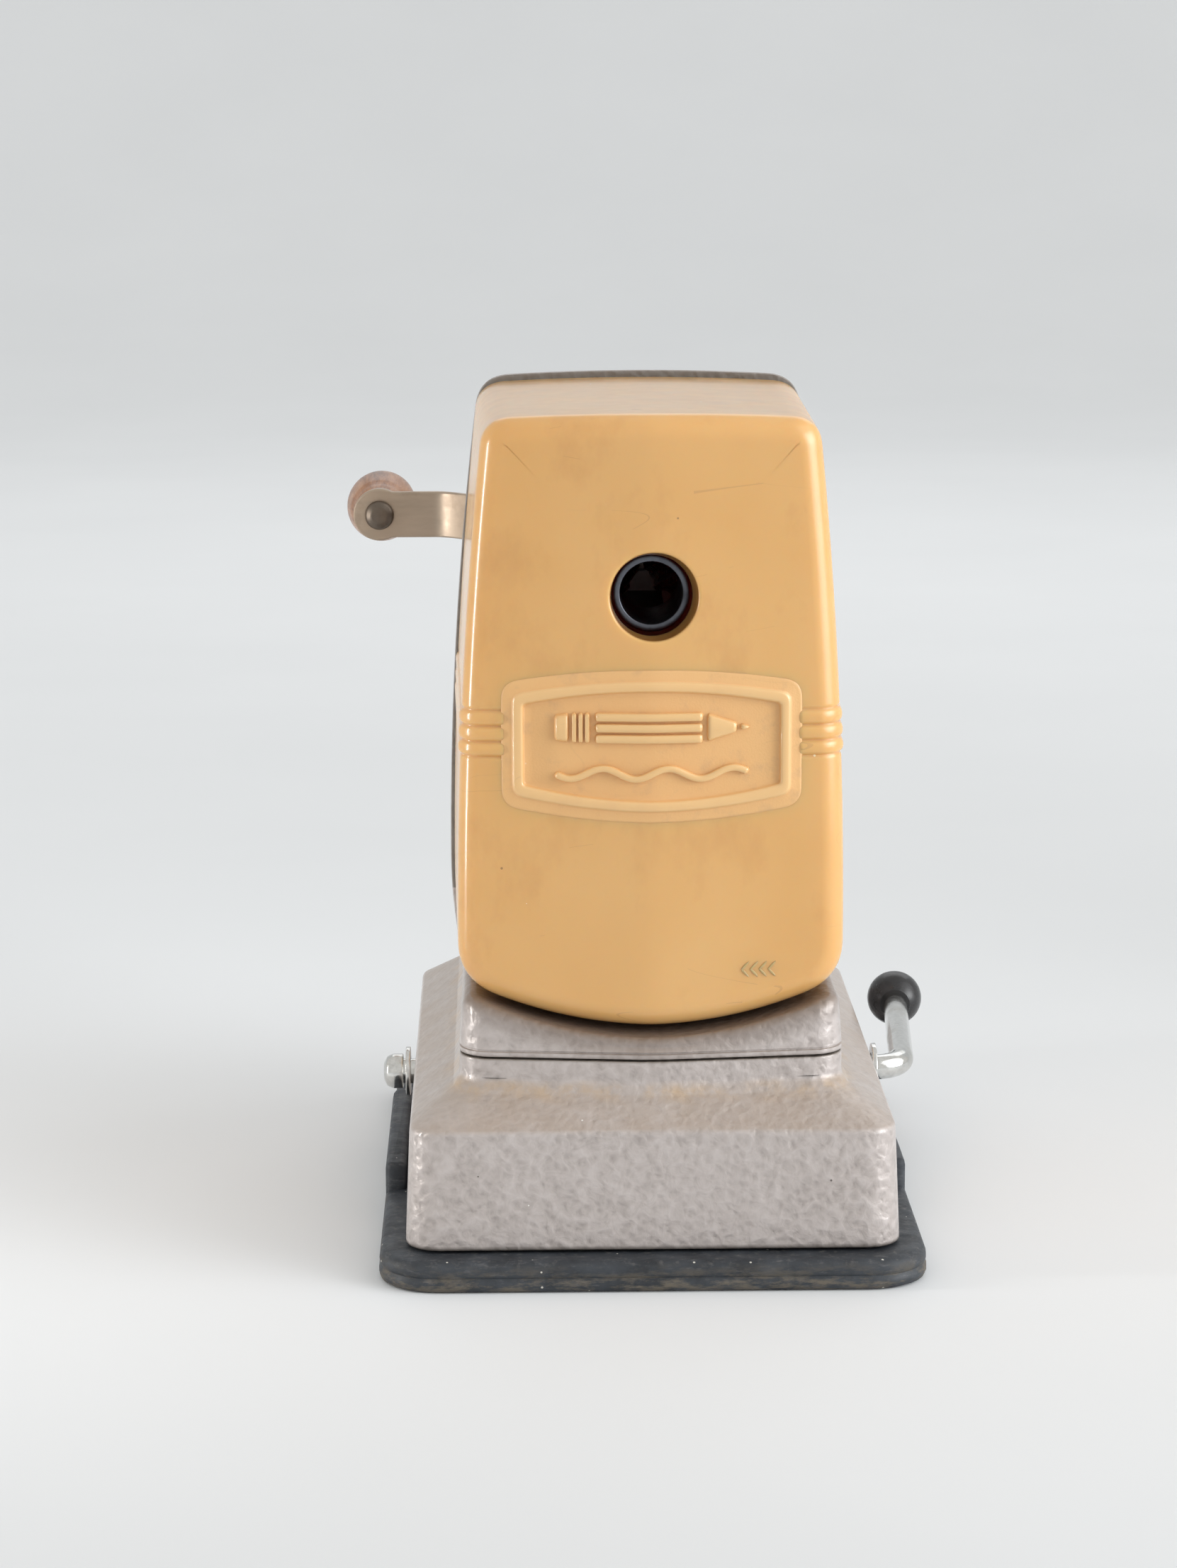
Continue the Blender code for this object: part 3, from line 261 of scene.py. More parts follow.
class Finish:
    """A material being made: its nodes, and the place on the object that they read."""

    def __init__(self, name):
        self.material = bpy.data.materials.new(name)
        self.material.use_nodes = True
        self.tree = self.material.node_tree
        self.where = self.node("TexCoord").outputs["Object"]

    def node(self, kind, inputs=None, **settings):
        made = self.tree.nodes.new("ShaderNode" + kind)
        for key, value in settings.items():
            setattr(made, key, value)
        for key, value in (inputs or {}).items():
            self.feed(made.inputs[key], value)
        return made

    def feed(self, socket, value):
        """Link a socket to another node, or set its own value."""
        if isinstance(value, bpy.types.NodeSocket):
            self.tree.links.new(value, socket)
        else:
            socket.default_value = (*value, 1) if socket.type == "RGBA" else value

    def shader(self, **inputs):
        """Set the shader's sockets and hand over the material."""
        for key, value in inputs.items():
            self.feed(self.tree.nodes["Principled BSDF"].inputs[key.replace("_", " ")], value)
        return self.material

    def stretched(self, scale, location=(0, 0, 0)):
        inputs = {"Vector": self.where, "Scale": scale, "Location": location}
        return self.node("Mapping", inputs).outputs["Vector"]

    def noise(self, scale, detail=4.0, roughness=0.5, distortion=0.0, where=None):
        place = self.where if where is None else where
        inputs = {"Vector": place, "Scale": scale, "Detail": detail}
        inputs.update({"Roughness": roughness, "Distortion": distortion})
        return self.node("TexNoise", inputs).outputs["Fac"]

    def ramp(self, value, *stops):
        """A colour or grey ramp; a stop is (place, grey or colour)."""
        made = self.node("ValToRGB", {"Fac": value})
        elements = made.color_ramp.elements
        while len(elements) < len(stops):
            elements.new(0.5)
        for element, (place, tone) in zip(elements, stops):
            element.position = place
            element.color = (tone, tone, tone, 1) if isinstance(tone, (int, float)) else (*tone, 1)
        return made.outputs["Color"]

    def patches(self, low, high, *how):
        """Noise turned into patches: low and high are ramp stops, and the rest is the noise's own."""
        return self.ramp(self.noise(*how), low, high)

    def maths(self, operation, first, second=0.0, clamp=False):
        made = self.node("Math", {0: first, 1: second}, operation=operation, use_clamp=clamp)
        return made.outputs[0]

    def times(self, first, second):
        return self.maths("MULTIPLY", first, second)

    def hypotenuse(self, first, second):
        squares = self.maths("ADD", self.times(first, first), self.times(second, second))
        return self.maths("SQRT", squares)

    def mixed(self, share, first, second, blend="MIX"):
        inputs = {0: share, 6: first, 7: second}
        return self.node("Mix", inputs, data_type="RGBA", blend_type=blend).outputs[2]

    def bump(self, height, distance, strength=1.0, normal=None):
        inputs = {"Height": height, "Distance": distance, "Strength": strength}
        if normal is not None:
            inputs["Normal"] = normal
        return self.node("Bump", inputs).outputs["Normal"]

    def parts(self, vector=None):
        """The X, Y and Z of a vector, or of the place on the object."""
        made = self.node("SeparateXYZ", {"Vector": self.where if vector is None else vector})
        return [made.outputs[axis] for axis in "XYZ"]

    def rising(self, value, low, high):
        """From 0 to 1 as a value goes from low to high."""
        inputs = {"Value": value, "From Min": low, "From Max": high}
        return self.node("MapRange", inputs).outputs["Result"]

    def near(self, value, middle, reach):
        """1 at one place along an axis, falling to 0 a reach away; millimetres."""
        away = self.maths("ABSOLUTE", self.maths("SUBTRACT", value, middle * MM))
        inputs = {"Value": away, "From Max": reach * MM, "To Min": 1.0, "To Max": 0.0}
        return self.node("MapRange", inputs).outputs["Result"]

    def facing_up(self, low, high):
        """From 0 to 1 as the surface turns to face upwards."""
        return self.rising(self.parts(self.node("NewGeometry").outputs["Normal"])[2], low, high)

    def above_face(self, low, high):
        """From 0 to 1 between two heights above the receptacle's face, in millimetres."""
        x, y, _ = self.parts()
        soft = FACE_SOFT * MM
        rounded = self.maths("SQRT", self.maths("ADD", self.times(x, x), soft * soft))
        away = self.maths("SUBTRACT", rounded, soft)
        slope = CUP_BOW / float(soft_abs(CUP_HALF_X))
        face = self.maths("ADD", self.times(away, slope), CUP_FRONT * MM)
        return self.rising(self.maths("SUBTRACT", face, y), low * MM, high * MM)

    def in_pencil_hole(self):
        """From 0 to 1 going from the face into the pencil's hole."""
        x, _, z = self.parts()
        away = self.hypotenuse(x, self.maths("SUBTRACT", z, AXIS_Z * MM))
        behind = self.maths("SUBTRACT", 1.0, self.above_face(-0.35, -0.08))
        return self.times(self.rising(away, 6.6 * MM, 6.3 * MM), behind)

    def specks(self, scale, size, share):
        """Sparse dust: 1 on a few small dots."""
        cells = self.node("TexVoronoi", {"Vector": self.where, "Scale": scale, "Randomness": 1.0})
        dot = self.maths("LESS_THAN", cells.outputs["Distance"], size)
        keep = self.node("SeparateColor", {"Color": cells.outputs["Color"]}).outputs["Red"]
        return self.times(dot, self.maths("LESS_THAN", keep, share))

    def hairlines(self, scale, seed):
        """Thin broken scratches, mostly sideways, where a stretched noise crosses its middle value."""
        value = self.noise(scale, 1.0, where=self.stretched((0.12, 1.0, 1.0), seed))
        line = self.maths("COMPARE", value, 0.5)
        line.node.inputs[2].default_value = 0.0009
        return self.times(line, self.maths("GREATER_THAN", self.noise(scale, 2.0), 0.58))


# ---------------------------------------------------------------- materials


def hammertone_paint():
    """Grey enamel that dried in soft dimples: cloudy tone, rippled gloss, settled dirt, and painted
    shade under the receptacle, along the housing's rim and along the skirt's lower edge.
    """
    m = Finish("hammertone_enamel")
    x, y, z = m.parts()
    drift = m.node("TexNoise", {"Vector": m.where, "Scale": 500.0, "Detail": 2.0}).outputs["Color"]
    warped = m.mixed(0.0016, m.where, drift, "ADD")
    cell_inputs = {"Vector": warped, "Scale": 760.0, "Randomness": 1.0, "Smoothness": 0.6}
    cells = m.node("TexVoronoi", cell_inputs, feature="SMOOTH_F1").outputs["Distance"]
    cloud = m.noise(520.0, 4.0, 0.62, 1.0)
    tone = m.maths("ADD", m.times(cells, 0.35), m.times(cloud, 0.8))
    dark, middle, light = (0.375, 0.334, 0.316), (0.462, 0.414, 0.394), (0.530, 0.482, 0.464)
    colour = m.ramp(tone, (0.36, dark), (0.55, middle), (0.74, light))
    colour = m.mixed(m.patches((0.35, 0.0), (0.7, 0.30), 60.0, 3.0), colour, (0.50, 0.455, 0.44))
    dust = m.times(m.facing_up(0.25, 0.75), m.patches((0.30, 0.35), (0.70, 0.95), 170.0, 5.0, 0.6))
    colour = m.mixed(dust, colour, (0.405, 0.335, 0.285))
    crease = m.times(m.near(z, 24.6, 1.5), m.patches((0.42, 0.0), (0.66, 0.8), 260.0, 4.0, 0.6))
    colour = m.mixed(crease, colour, (0.50, 0.36, 0.23))
    # Painted shade with grime: a dark brown band on the pedestal just under the receptacle's edge, where
    # its shadow falls.
    radius = m.hypotenuse(m.maths("SUBTRACT", z, AXIS_Z * MM), x)
    under = m.rising(radius, (SADDLE_RADIUS + 3.6) * MM, SADDLE_RADIUS * MM)
    ahead = m.maths("LESS_THAN", y, HOUSING_FRONT * MM)
    below = m.maths("LESS_THAN", z, 45 * MM)
    shade_and_grime_under_cup = m.times(under, m.times(ahead, below))
    colour = m.mixed(m.times(shade_and_grime_under_cup, 0.75), colour, (0.13, 0.085, 0.055))
    # Painted shade: a dark line along the housing's front rim, where the gap to the receptacle lies in
    # shadow, and one along the skirt's lower edge above the foot. The line where the castings meet is
    # their dark joint.
    rim = m.times(m.near(y, HOUSING_FRONT, 0.9), m.maths("GREATER_THAN", z, 40 * MM))
    seam = m.maths("MAXIMUM", m.near(z, JOINT_Z, 0.45), m.near(z, BASE_LOW[2], 0.7))
    grime_and_shade = m.maths("MULTIPLY", m.maths("MAXIMUM", rim, seam), 0.8, True)
    colour = m.mixed(grime_and_shade, colour, (0.085, 0.070, 0.050))
    colour = m.mixed(m.specks(420.0, 0.06, 0.04), colour, (0.80, 0.79, 0.77))
    colour = m.mixed(m.specks(300.0, 0.05, 0.04), colour, (0.14, 0.12, 0.11))
    rough = m.mixed(dust, m.ramp(cloud, (0.3, 0.46), (0.7, 0.32)), (0.62, 0.62, 0.62))
    dimples = m.bump(m.maths("ADD", cells, m.times(cloud, 0.5)), 0.00040, 0.55)
    look = {"Base_Color": colour, "Roughness": rough, "Metallic": 0.2, "Normal": dimples}
    return m.shader(**look, Coat_Weight=0.5, Coat_Roughness=0.12)


def amber_plastic(name, badge=False):
    """Old amber plastic that lets a little light through; on the badge, all but the strokes is matt."""
    m = Finish(name)
    colour = m.patches((0.3, (0.690, 0.390, 0.138)), (0.7, (0.735, 0.440, 0.176)), 38.0, 3.0)
    streaks = m.noise(95.0, 5.0, 0.62, where=m.stretched((1.0, 1.0, 0.6)))
    colour = m.mixed(m.ramp(streaks, (0.54, 0.0), (0.76, 0.5)), colour, (0.56, 0.295, 0.11))
    first = m.hairlines(60.0, (0.11, 0.3, 0.2))
    second = m.hairlines(110.0, (0.34, 0.1, 0.6))
    colour = m.mixed(m.times(m.maths("MAXIMUM", first, second), 0.22), colour, (0.30, 0.18, 0.09))
    colour = m.mixed(m.times(m.specks(420.0, 0.07, 0.06), 0.7), colour, (0.93, 0.86, 0.70))
    colour = m.mixed(m.times(m.specks(300.0, 0.05, 0.05), 0.6), colour, (0.16, 0.09, 0.05))
    rough = m.patches((0.3, 0.17), (0.7, 0.24), 200.0, 3.0)
    relief = m.bump(m.noise(60.0, 2.0), 0.00010, 0.3)
    # Graphite stain and painted shade: the wall of the pencil's hole is darkened to a deep brown.
    graphite_stain_and_shade = m.times(m.in_pencil_hole(), m.ramp(streaks, (0.2, 1.0), (0.8, 0.86)))
    colour = m.mixed(graphite_stain_and_shade, colour, (0.20, 0.09, 0.024))
    if badge:
        raised = m.above_face(0.22, 0.36)
        matt = m.maths("SUBTRACT", 1.0, raised)
        colour = m.mixed(m.times(matt, 0.7), colour, (0.775, 0.445, 0.190))
        # Painted highlight: the raised frame and strokes are lightened, as light falling on their tops
        # and glowing through the thin plastic would make them.
        colour = m.mixed(m.times(raised, 0.45), colour, (0.84, 0.58, 0.31))
        grime_and_shade = m.times(m.patches((0.54, 0.0), (0.74, 0.4), 330.0, 5.0, 0.6), matt)
        colour = m.mixed(grime_and_shade, colour, (0.50, 0.30, 0.16))
        rough = m.mixed(matt, rough, (0.50, 0.50, 0.50))
        relief = m.bump(m.times(m.noise(3800.0, 3.0), matt), 0.00006, 0.6, relief)
    depth = {"Subsurface_Radius": (1.0, 0.62, 0.34), "Subsurface_Scale": 0.0035}
    depth["Subsurface_Weight"] = 0.1 if badge else 0.6
    look = {"Base_Color": colour, "Roughness": rough, "IOR": 1.5, "Normal": relief}
    return m.shader(**look, **depth, Coat_Weight=0.25, Coat_Roughness=0.06)


def foot_rubber():
    """Black rubber, scuffed brown along its edge and dusty on top."""
    m = Finish("worn_rubber")
    along = m.stretched((0.32, 0.5, 1.3))
    scuff = m.noise(620.0, 6.0, 0.72, where=along)
    colour = m.patches((0.3, (0.014, 0.017, 0.022)), (0.7, (0.043, 0.050, 0.060)), 240.0, 5.0, 0.6)
    edge = m.near(m.parts()[2], 1.0, 3.0)
    brown = m.times(m.ramp(scuff, (0.46, 0.0), (0.60, 0.85)), edge)
    colour = m.mixed(brown, colour, (0.150, 0.126, 0.094))
    light = m.ramp(m.noise(1300.0, 5.0, 0.7, where=along), (0.56, 0.0), (0.72, 0.4))
    colour = m.mixed(light, colour, (0.16, 0.16, 0.165))
    dusty = m.times(m.patches((0.55, 0.0), (0.72, 0.45), 700.0, 4.0, 0.7), m.facing_up(0.3, 0.9))
    colour = m.mixed(dusty, colour, (0.17, 0.16, 0.15))
    colour = m.mixed(m.specks(800.0, 0.13, 0.12), colour, (0.55, 0.53, 0.48))
    rough = m.ramp(scuff, (0.3, 0.42), (0.7, 0.75))
    return m.shader(Base_Color=colour, Roughness=rough, Normal=m.bump(scuff, 0.00018, 0.5))


OLD_DIRT = (0.10, 0.085, 0.07)


def metal(name, colour, rough, grain, stain, tint=OLD_DIRT, stretch=(1.0, 1.0, 1.0), relief=0.00003):
    """A bare or plated metal with fine grain, uneven gloss and some staining."""
    m = Finish(name)
    fine = m.noise(grain, 5.0, 0.6, where=m.stretched(stretch))
    tone = m.ramp(fine, (0.3, tuple(0.8 * c for c in colour)), (0.7, colour))
    patch = m.patches((0.52, 0.0), (0.75, stain), 160.0, 5.0, 0.6)
    tone = m.mixed(patch, tone, tint)
    gloss = m.mixed(patch, m.ramp(fine, (0.3, rough * 0.8), (0.7, rough * 1.25)), (0.6, 0.6, 0.6))
    return m.shader(Base_Color=tone, Roughness=gloss, Metallic=1.0, Normal=m.bump(fine, relief, 0.4))


def knob_wood():
    """Stained wood whose grain runs along the knob, worn paler in patches."""
    m = Finish("stained_wood")
    length = m.stretched((1.0, 0.12, 1.0))
    grain = m.noise(1500.0, 6.0, 0.65, 0.4, length)
    rings = m.noise(260.0, 3.0, 0.5, 1.5, length)
    both = m.maths("ADD", m.times(grain, 0.55), m.times(rings, 0.45))
    dark, middle, light = (0.13, 0.048, 0.018), (0.30, 0.125, 0.046), (0.44, 0.205, 0.082)
    colour = m.ramp(both, (0.35, dark), (0.52, middle), (0.7, light))
    colour = m.mixed(m.patches((0.58, 0.0), (0.75, 0.5), 220.0, 4.0), colour, (0.50, 0.29, 0.17))
    rough = m.ramp(both, (0.3, 0.42), (0.7, 0.30))
    look = {"Base_Color": colour, "Roughness": rough, "Normal": m.bump(grain, 0.00008, 0.5)}
    return m.shader(**look, Coat_Weight=0.35, Coat_Roughness=0.2)


def ball_plastic():
    """Glossy black plastic with a little dust on it."""
    m = Finish("black_ball_plastic")
    colour = m.patches((0.3, (0.014, 0.014, 0.015)), (0.7, (0.028, 0.028, 0.03)), 300.0, 4.0)
    colour = m.mixed(m.specks(700.0, 0.1, 0.06), colour, (0.3, 0.29, 0.27))
    rough = m.patches((0.35, 0.16), (0.7, 0.34), 500.0, 4.0)
    return m.shader(Base_Color=colour, Roughness=rough, Normal=m.bump(m.noise(900.0, 3.0), 0.00003, 0.3))


PAINT = hammertone_paint()
AMBER = amber_plastic("amber_plastic")
BADGE_AMBER = amber_plastic("amber_plastic_badge", badge=True)
RUBBER = foot_rubber()
WOOD = knob_wood()
BALL = ball_plastic()
CHROME = metal("bright_plate", (0.78, 0.78, 0.76), 0.10, 1400.0, 0.35, (0.32, 0.27, 0.2))
STEEL = metal("plain_steel", (0.50, 0.49, 0.47), 0.34, 900.0, 0.35)
ARM_STEEL = metal(
    "tarnished_steel", (0.50, 0.40, 0.31), 0.46, 700.0, 0.5, (0.22, 0.15, 0.10), (0.15, 1.0, 1.0)
)
DULL_STEEL = metal("oxidised_steel", (0.19, 0.155, 0.125), 0.42, 800.0, 0.5, (0.07, 0.05, 0.035))
BLACK_STEEL = metal("blackened_steel", (0.15, 0.16, 0.185), 0.34, 1500.0, 0.6, (0.03, 0.03, 0.035))
CUTTER_STEEL = metal("hardened_steel", (0.34, 0.34, 0.35), 0.28, 1200.0, 0.55, (0.035, 0.035, 0.04))
CAST_METAL = metal("bare_casting", (0.36, 0.36, 0.35), 0.5, 500.0, 0.4, relief=0.00012)
BRONZE = metal("oiled_bronze", (0.50, 0.31, 0.13), 0.32, 700.0, 0.45)


# ---------------------------------------------------------------- receptacle


def cup_face_y(x):
    """The front face stands in a shallow V, with its ridge at the middle."""
    return CUP_FRONT + CUP_BOW * soft_abs(x) / soft_abs(CUP_HALF_X)


def cup_width(z):
    """Half the width of the receptacle's front at a height."""
    return CUP_HALF_X - (z - CUP_WIDEST_Z) ** 2 / (2 * CUP_BELLY)


def curve_points(start, control, end, count):
    """Points along a curve that leaves and arrives in line with its control point."""
    t = np.linspace(0, 1, count)[:, None]
    return (1 - t) ** 2 * np.array(start) + 2 * t * (1 - t) * np.array(control) + t * t * np.array(end)


def mirrored(half):
    """A closed counter-clockwise loop from its right half, bottom middle to top middle."""
    left = half[1:-1][::-1] * np.array([-1, 1])
    return np.vstack([half, left])


def cup_loop():
    """The receptacle's outline at the front, with close points where the ribs run."""
    x = np.linspace(0, CUP_KNEE_X, 24)
    floor = np.stack([x, AXIS_Z - np.sqrt(CUP_FLOOR_RADIUS**2 - x**2)], axis=1)
    slope = CUP_KNEE_X / math.sqrt(CUP_FLOOR_RADIUS**2 - CUP_KNEE_X**2)
    knee_x = cup_width(CUP_KNEE_Z)
    knee = (knee_x, floor[-1][1] + slope * (knee_x - CUP_KNEE_X))
    low_corner = curve_points(floor[-1], knee, (knee_x, CUP_KNEE_Z), 13)[1:]
    stretches = ((CUP_KNEE_Z, 67.8, 20), (67.8, 76.8, 66), (76.8, CUP_SHOULDER_Z, 26))
    heights = np.concatenate([np.linspace(*stretch)[1:] for stretch in stretches])
    side = np.stack([cup_width(heights), heights], axis=1)
    edge_x = cup_width(CUP_TOP) - 4.0
    corner = (cup_width(113.8), CUP_TOP - 0.62)
    high_corner = curve_points(side[-1], corner, (edge_x, CUP_TOP - 0.5), 13)[1:]
    x = np.linspace(edge_x, 0, 20)[1:]
    top = np.stack([x, CUP_TOP - 0.5 * (x / edge_x) ** 2], axis=1)
    return mirrored(np.vstack([floor, low_corner, side, high_corner, top]))


def ribs(z):
    """Height of the moulded ribs above the wall."""
    height = np.zeros_like(z)
    for upper, lower in zip(RIB_GROOVES, RIB_GROOVES[1:]):
        middle, half = (upper + lower) / 2, (upper - lower) / 2
        height += 0.30 * np.clip(1 - ((z - middle) / half) ** 2, 0, None)
    for groove in RIB_GROOVES:
        height -= 0.22 * np.exp(-(((z - groove) / 0.24) ** 2))
    return height


def skin_depth(x, z):
    """The face drops behind the badge's field, so that the field can lie below it."""
    over = BADGE_TOP - BADGE_TOP_ARC * (x / BADGE_HALF_X) ** 2 - z
    under = z - BADGE_BOTTOM - BADGE_BOTTOM_ARC * (x / BADGE_HALF_X) ** 2
    inside = smoothstep(0.3, 1.1, np.minimum(np.minimum(over, under), BADGE_HALF_X - np.abs(x)))
    return inside * (BADGE_SUNK + 0.3)


class CupShape:
    """Points on the receptacle's skin, from an inset and a distance behind the front face."""

    def __init__(self):
        self.loop = cup_loop()
        normals = outward_normals(self.loop)
        normals[:, 1] *= smoothstep(0.06, 0.4, np.abs(normals[:, 1]))
        self.normals = normals / np.linalg.norm(normals, axis=1, keepdims=True)
        self.angle = np.arctan2(self.loop[:, 1] - AXIS_Z, self.loop[:, 0])
        self.beside_badge = smoothstep(60, 67, self.loop[:, 1]) * smoothstep(86, 79, self.loop[:, 1])

    def row(self, inset, behind, rib_share=0.0, rib_lean=0.0):
        """One ring. rib_share scales the ribs; rib_lean turns their push from sideways to forwards."""
        share = behind / CUP_DEPTH
        x = self.loop[:, 0] * (1 + CUP_FLARE * share / CUP_HALF_X)
        z = self.loop[:, 1] + CUP_RISE * share * smoothstep(100, 112, self.loop[:, 1])
        push = ribs(self.loop[:, 1]) * rib_share * (np.abs(self.loop[:, 0]) > 15)
        side = -inset + push * (1 - rib_lean)
        x = x + self.normals[:, 0] * side
        z = z + self.normals[:, 1] * side
        y = cup_face_y(x) - CUP_FRONT
        y = CUP_FRONT + behind + y * (1 - share) - push * rib_lean
        return np.stack([x, y, z], axis=1)

    def hole(self, radius, behind):
        """One ring of the pencil's hole, which narrows behind the face and closes round the tube."""
        deep = max(0.0, behind - 0.5) / (CUP_WALL - 0.5)
        radius = radius - HOLE_TAPER * deep
        x = HOLE_OFF_CENTRE[0] * (1 - deep) + radius * np.cos(self.angle)
        z = AXIS_Z + HOLE_OFF_CENTRE[1] * (1 - deep) + radius * np.sin(self.angle)
        return np.stack([x, cup_face_y(x) + behind, z], axis=1)

    def inner_inset(self):
        """How far in the flat band round the face reaches: to the halo beside the badge."""
        beside = np.abs(self.loop[:, 0]) - HALO_X + 0.5
        return 3.4 + (beside - 3.4) * self.beside_badge


def make_receptacle():
    """The amber receptacle: a bowed front, a hollow behind it, and a hole for the pencil."""
    shape = CupShape()
    rows = [shape.hole(CUP_HOLE_RADIUS, behind) for behind in (CUP_WALL, 1.0, 0.5)]
    for angle in quarter(6):
        radius = CUP_HOLE_RADIUS + 0.5 * (1 - math.cos(angle))
        rows.append(shape.hole(radius, 0.5 * (1 - math.sin(angle))))
    band = shape.inner_inset()
    start, end = rows[-1], shape.row(band, 0, 0.0, 1.0)
    for t in np.linspace(0, 1, 44)[1:-1]:
        flat = start + (end - start) * t
        flat[:, 1] = cup_face_y(flat[:, 0]) + skin_depth(flat[:, 0], flat[:, 2])
        rows.append(flat)
    for t in np.linspace(0, 1, 9)[:-1]:
        rows.append(shape.row(band + (EDGE_RADIUS - band) * t, 0, smoothstep(0.0, 0.16, t), 1.0))
    for angle in np.linspace(0, math.pi / 2, 15):
        inset, behind = EDGE_RADIUS * (1 - math.sin(angle)), EDGE_RADIUS * (1 - math.cos(angle))
        rows.append(shape.row(inset, behind, 1.0, math.cos(angle) ** 2))
    for behind in np.linspace(EDGE_RADIUS, CUP_DEPTH - 0.3, 16)[1:]:
        rows.append(shape.row(0, behind, 1.0, 0.0))
    rows.append(shape.row(0.08, CUP_DEPTH - 0.08, 1.0, 0.0))
    rows += [shape.row(0.3, CUP_DEPTH), shape.row(CUP_WALL - 0.3, CUP_DEPTH)]
    rows.append(shape.row(CUP_WALL - 0.08, CUP_DEPTH - 0.08))
    for behind in np.linspace(CUP_DEPTH - 0.3, 4.2, 10):
        rows.append(shape.row(CUP_WALL, behind))
    for angle in quarter(6):
        rows.append(shape.row(CUP_WALL + 1.6 * (1 - math.cos(angle)), 4.2 - 2.4 * math.sin(angle)))
    start, end = rows[0], rows[-1]
    for t in np.linspace(1, 0, 9)[1:-1]:
        flat = start + (end - start) * t
        flat[:, 1] = cup_face_y(flat[:, 0]) + CUP_WALL
        rows.append(flat)
    shell = skin(rows, join_ends=True)
    build("shavings_receptacle_skin", [shell], AMBER, "receptacle", ["shavings_receptacle"], sharp=60)


def on_face(points, height):
    """Put (x, z) points on the receptacle's front face, this far proud of it."""
    points = np.asarray(points, float)
    return np.stack([points[:, 0], cup_face_y(points[:, 0]) - height, points[:, 1]], axis=1)


def barrel_loop(out):
    """The badge's outline, this far outside its edge: straight sides, arched top and bottom."""
    half, top, bottom = BADGE_HALF_X + out, BADGE_TOP + out, BADGE_BOTTOM - out
    corner = max(0.3, 1.3 + 0.6 * out)
    reach = half - corner

    def upper(x):
        return top - BADGE_TOP_ARC * (x / half) ** 2

    def lower(x):
        return bottom + BADGE_BOTTOM_ARC * (x / half) ** 2

    x = np.linspace(0, reach, 30)
    under = np.stack([x, lower(x)], axis=1)
    low_side, high_side = lower(half) + corner, upper(half) - corner
    low_corner = curve_points(under[-1], (half, lower(half)), (half, low_side), 8)[1:]
    side = np.stack([np.full(18, half), np.linspace(low_side, high_side, 18)], axis=1)[1:]
    high_corner = curve_points(side[-1], (half, upper(half)), (reach, upper(reach)), 8)[1:]
    over = np.stack([x[::-1], upper(x[::-1])], axis=1)[1:]
    return mirrored(np.vstack([under, low_corner, side, high_corner, over]))


def make_badge():
    """A raised frame round a matt field, with a shallow step outside it."""
    halo = [(1.56, -1.0), (1.54, -0.03), (1.46, 0.04), (1.34, 0.09), (1.18, 0.12), (0.22, 0.13)]
    climb = [(0.08, 0.20), (0.00, 0.34), (-0.12, 0.47), (-0.32, 0.54), (-0.65, BADGE_PROUD)]
    drop = [(-0.98, 0.54), (-1.16, 0.46), (-1.28, 0.30), (-1.36, 0.05), (-1.44, -0.14)]
    steps = [*halo, *climb, *drop, (-1.60, 0.04 - BADGE_SUNK)]
    rows = [on_face(barrel_loop(out), height) for out, height in steps]
    middle = np.array([0.0, (BADGE_TOP + BADGE_BOTTOM) / 2])
    inner = barrel_loop(steps[-1][0])
    for scale in np.linspace(0.94, 0.04, 14):
        rows.append(on_face(middle + (inner - middle) * scale, -BADGE_SUNK))
    build("badge_frame", [skin(rows)], BADGE_AMBER, "receptacle", sharp=60)


HALF_STROKE = [(-1, 0.0), (-0.97, 0.45), (-0.86, 0.80), (-0.66, 0.97)]
STROKE = [*HALF_STROKE, (0, 1.0), *[(-across_it, tall) for across_it, tall in HALF_STROKE[::-1]]]


def bead(path, half_width, height, sunk):
    """A raised stroke along a path on the face; half_width is one number, or start and end."""
    path = filled(np.asarray(path, float), 0.3)
    along = np.gradient(path, axis=0)
    along /= np.linalg.norm(along, axis=1, keepdims=True)
    sideways = np.stack([-along[:, 1], along[:, 0]], axis=1)
    travelled = np.concatenate([[0], np.cumsum(np.linalg.norm(np.diff(path, axis=0), axis=1))])
    first, last = np.broadcast_to(half_width, 2)
    widths = first + (last - first) * travelled / travelled[-1]
    soft = 0.45
    to_end = np.minimum(travelled, travelled[-1] - travelled)
    rounding = np.sqrt(1 - np.clip(1 - to_end / soft, 0, 0.97) ** 2)
    rows = []
    for point, side, width, share in zip(path, sideways, widths, rounding):
        spread = max(width - soft * (1 - share), 0.05)
        ring = [(offset * spread, tall * (height + sunk) * share - sunk) for offset, tall in STROKE]
        ring = [(-spread, -sunk - 0.1), *ring, (spread, -sunk - 0.1)]
        rows.append(np.vstack([on_face([point + side * offset], tall) for offset, tall in ring]))
    return skin(rows)


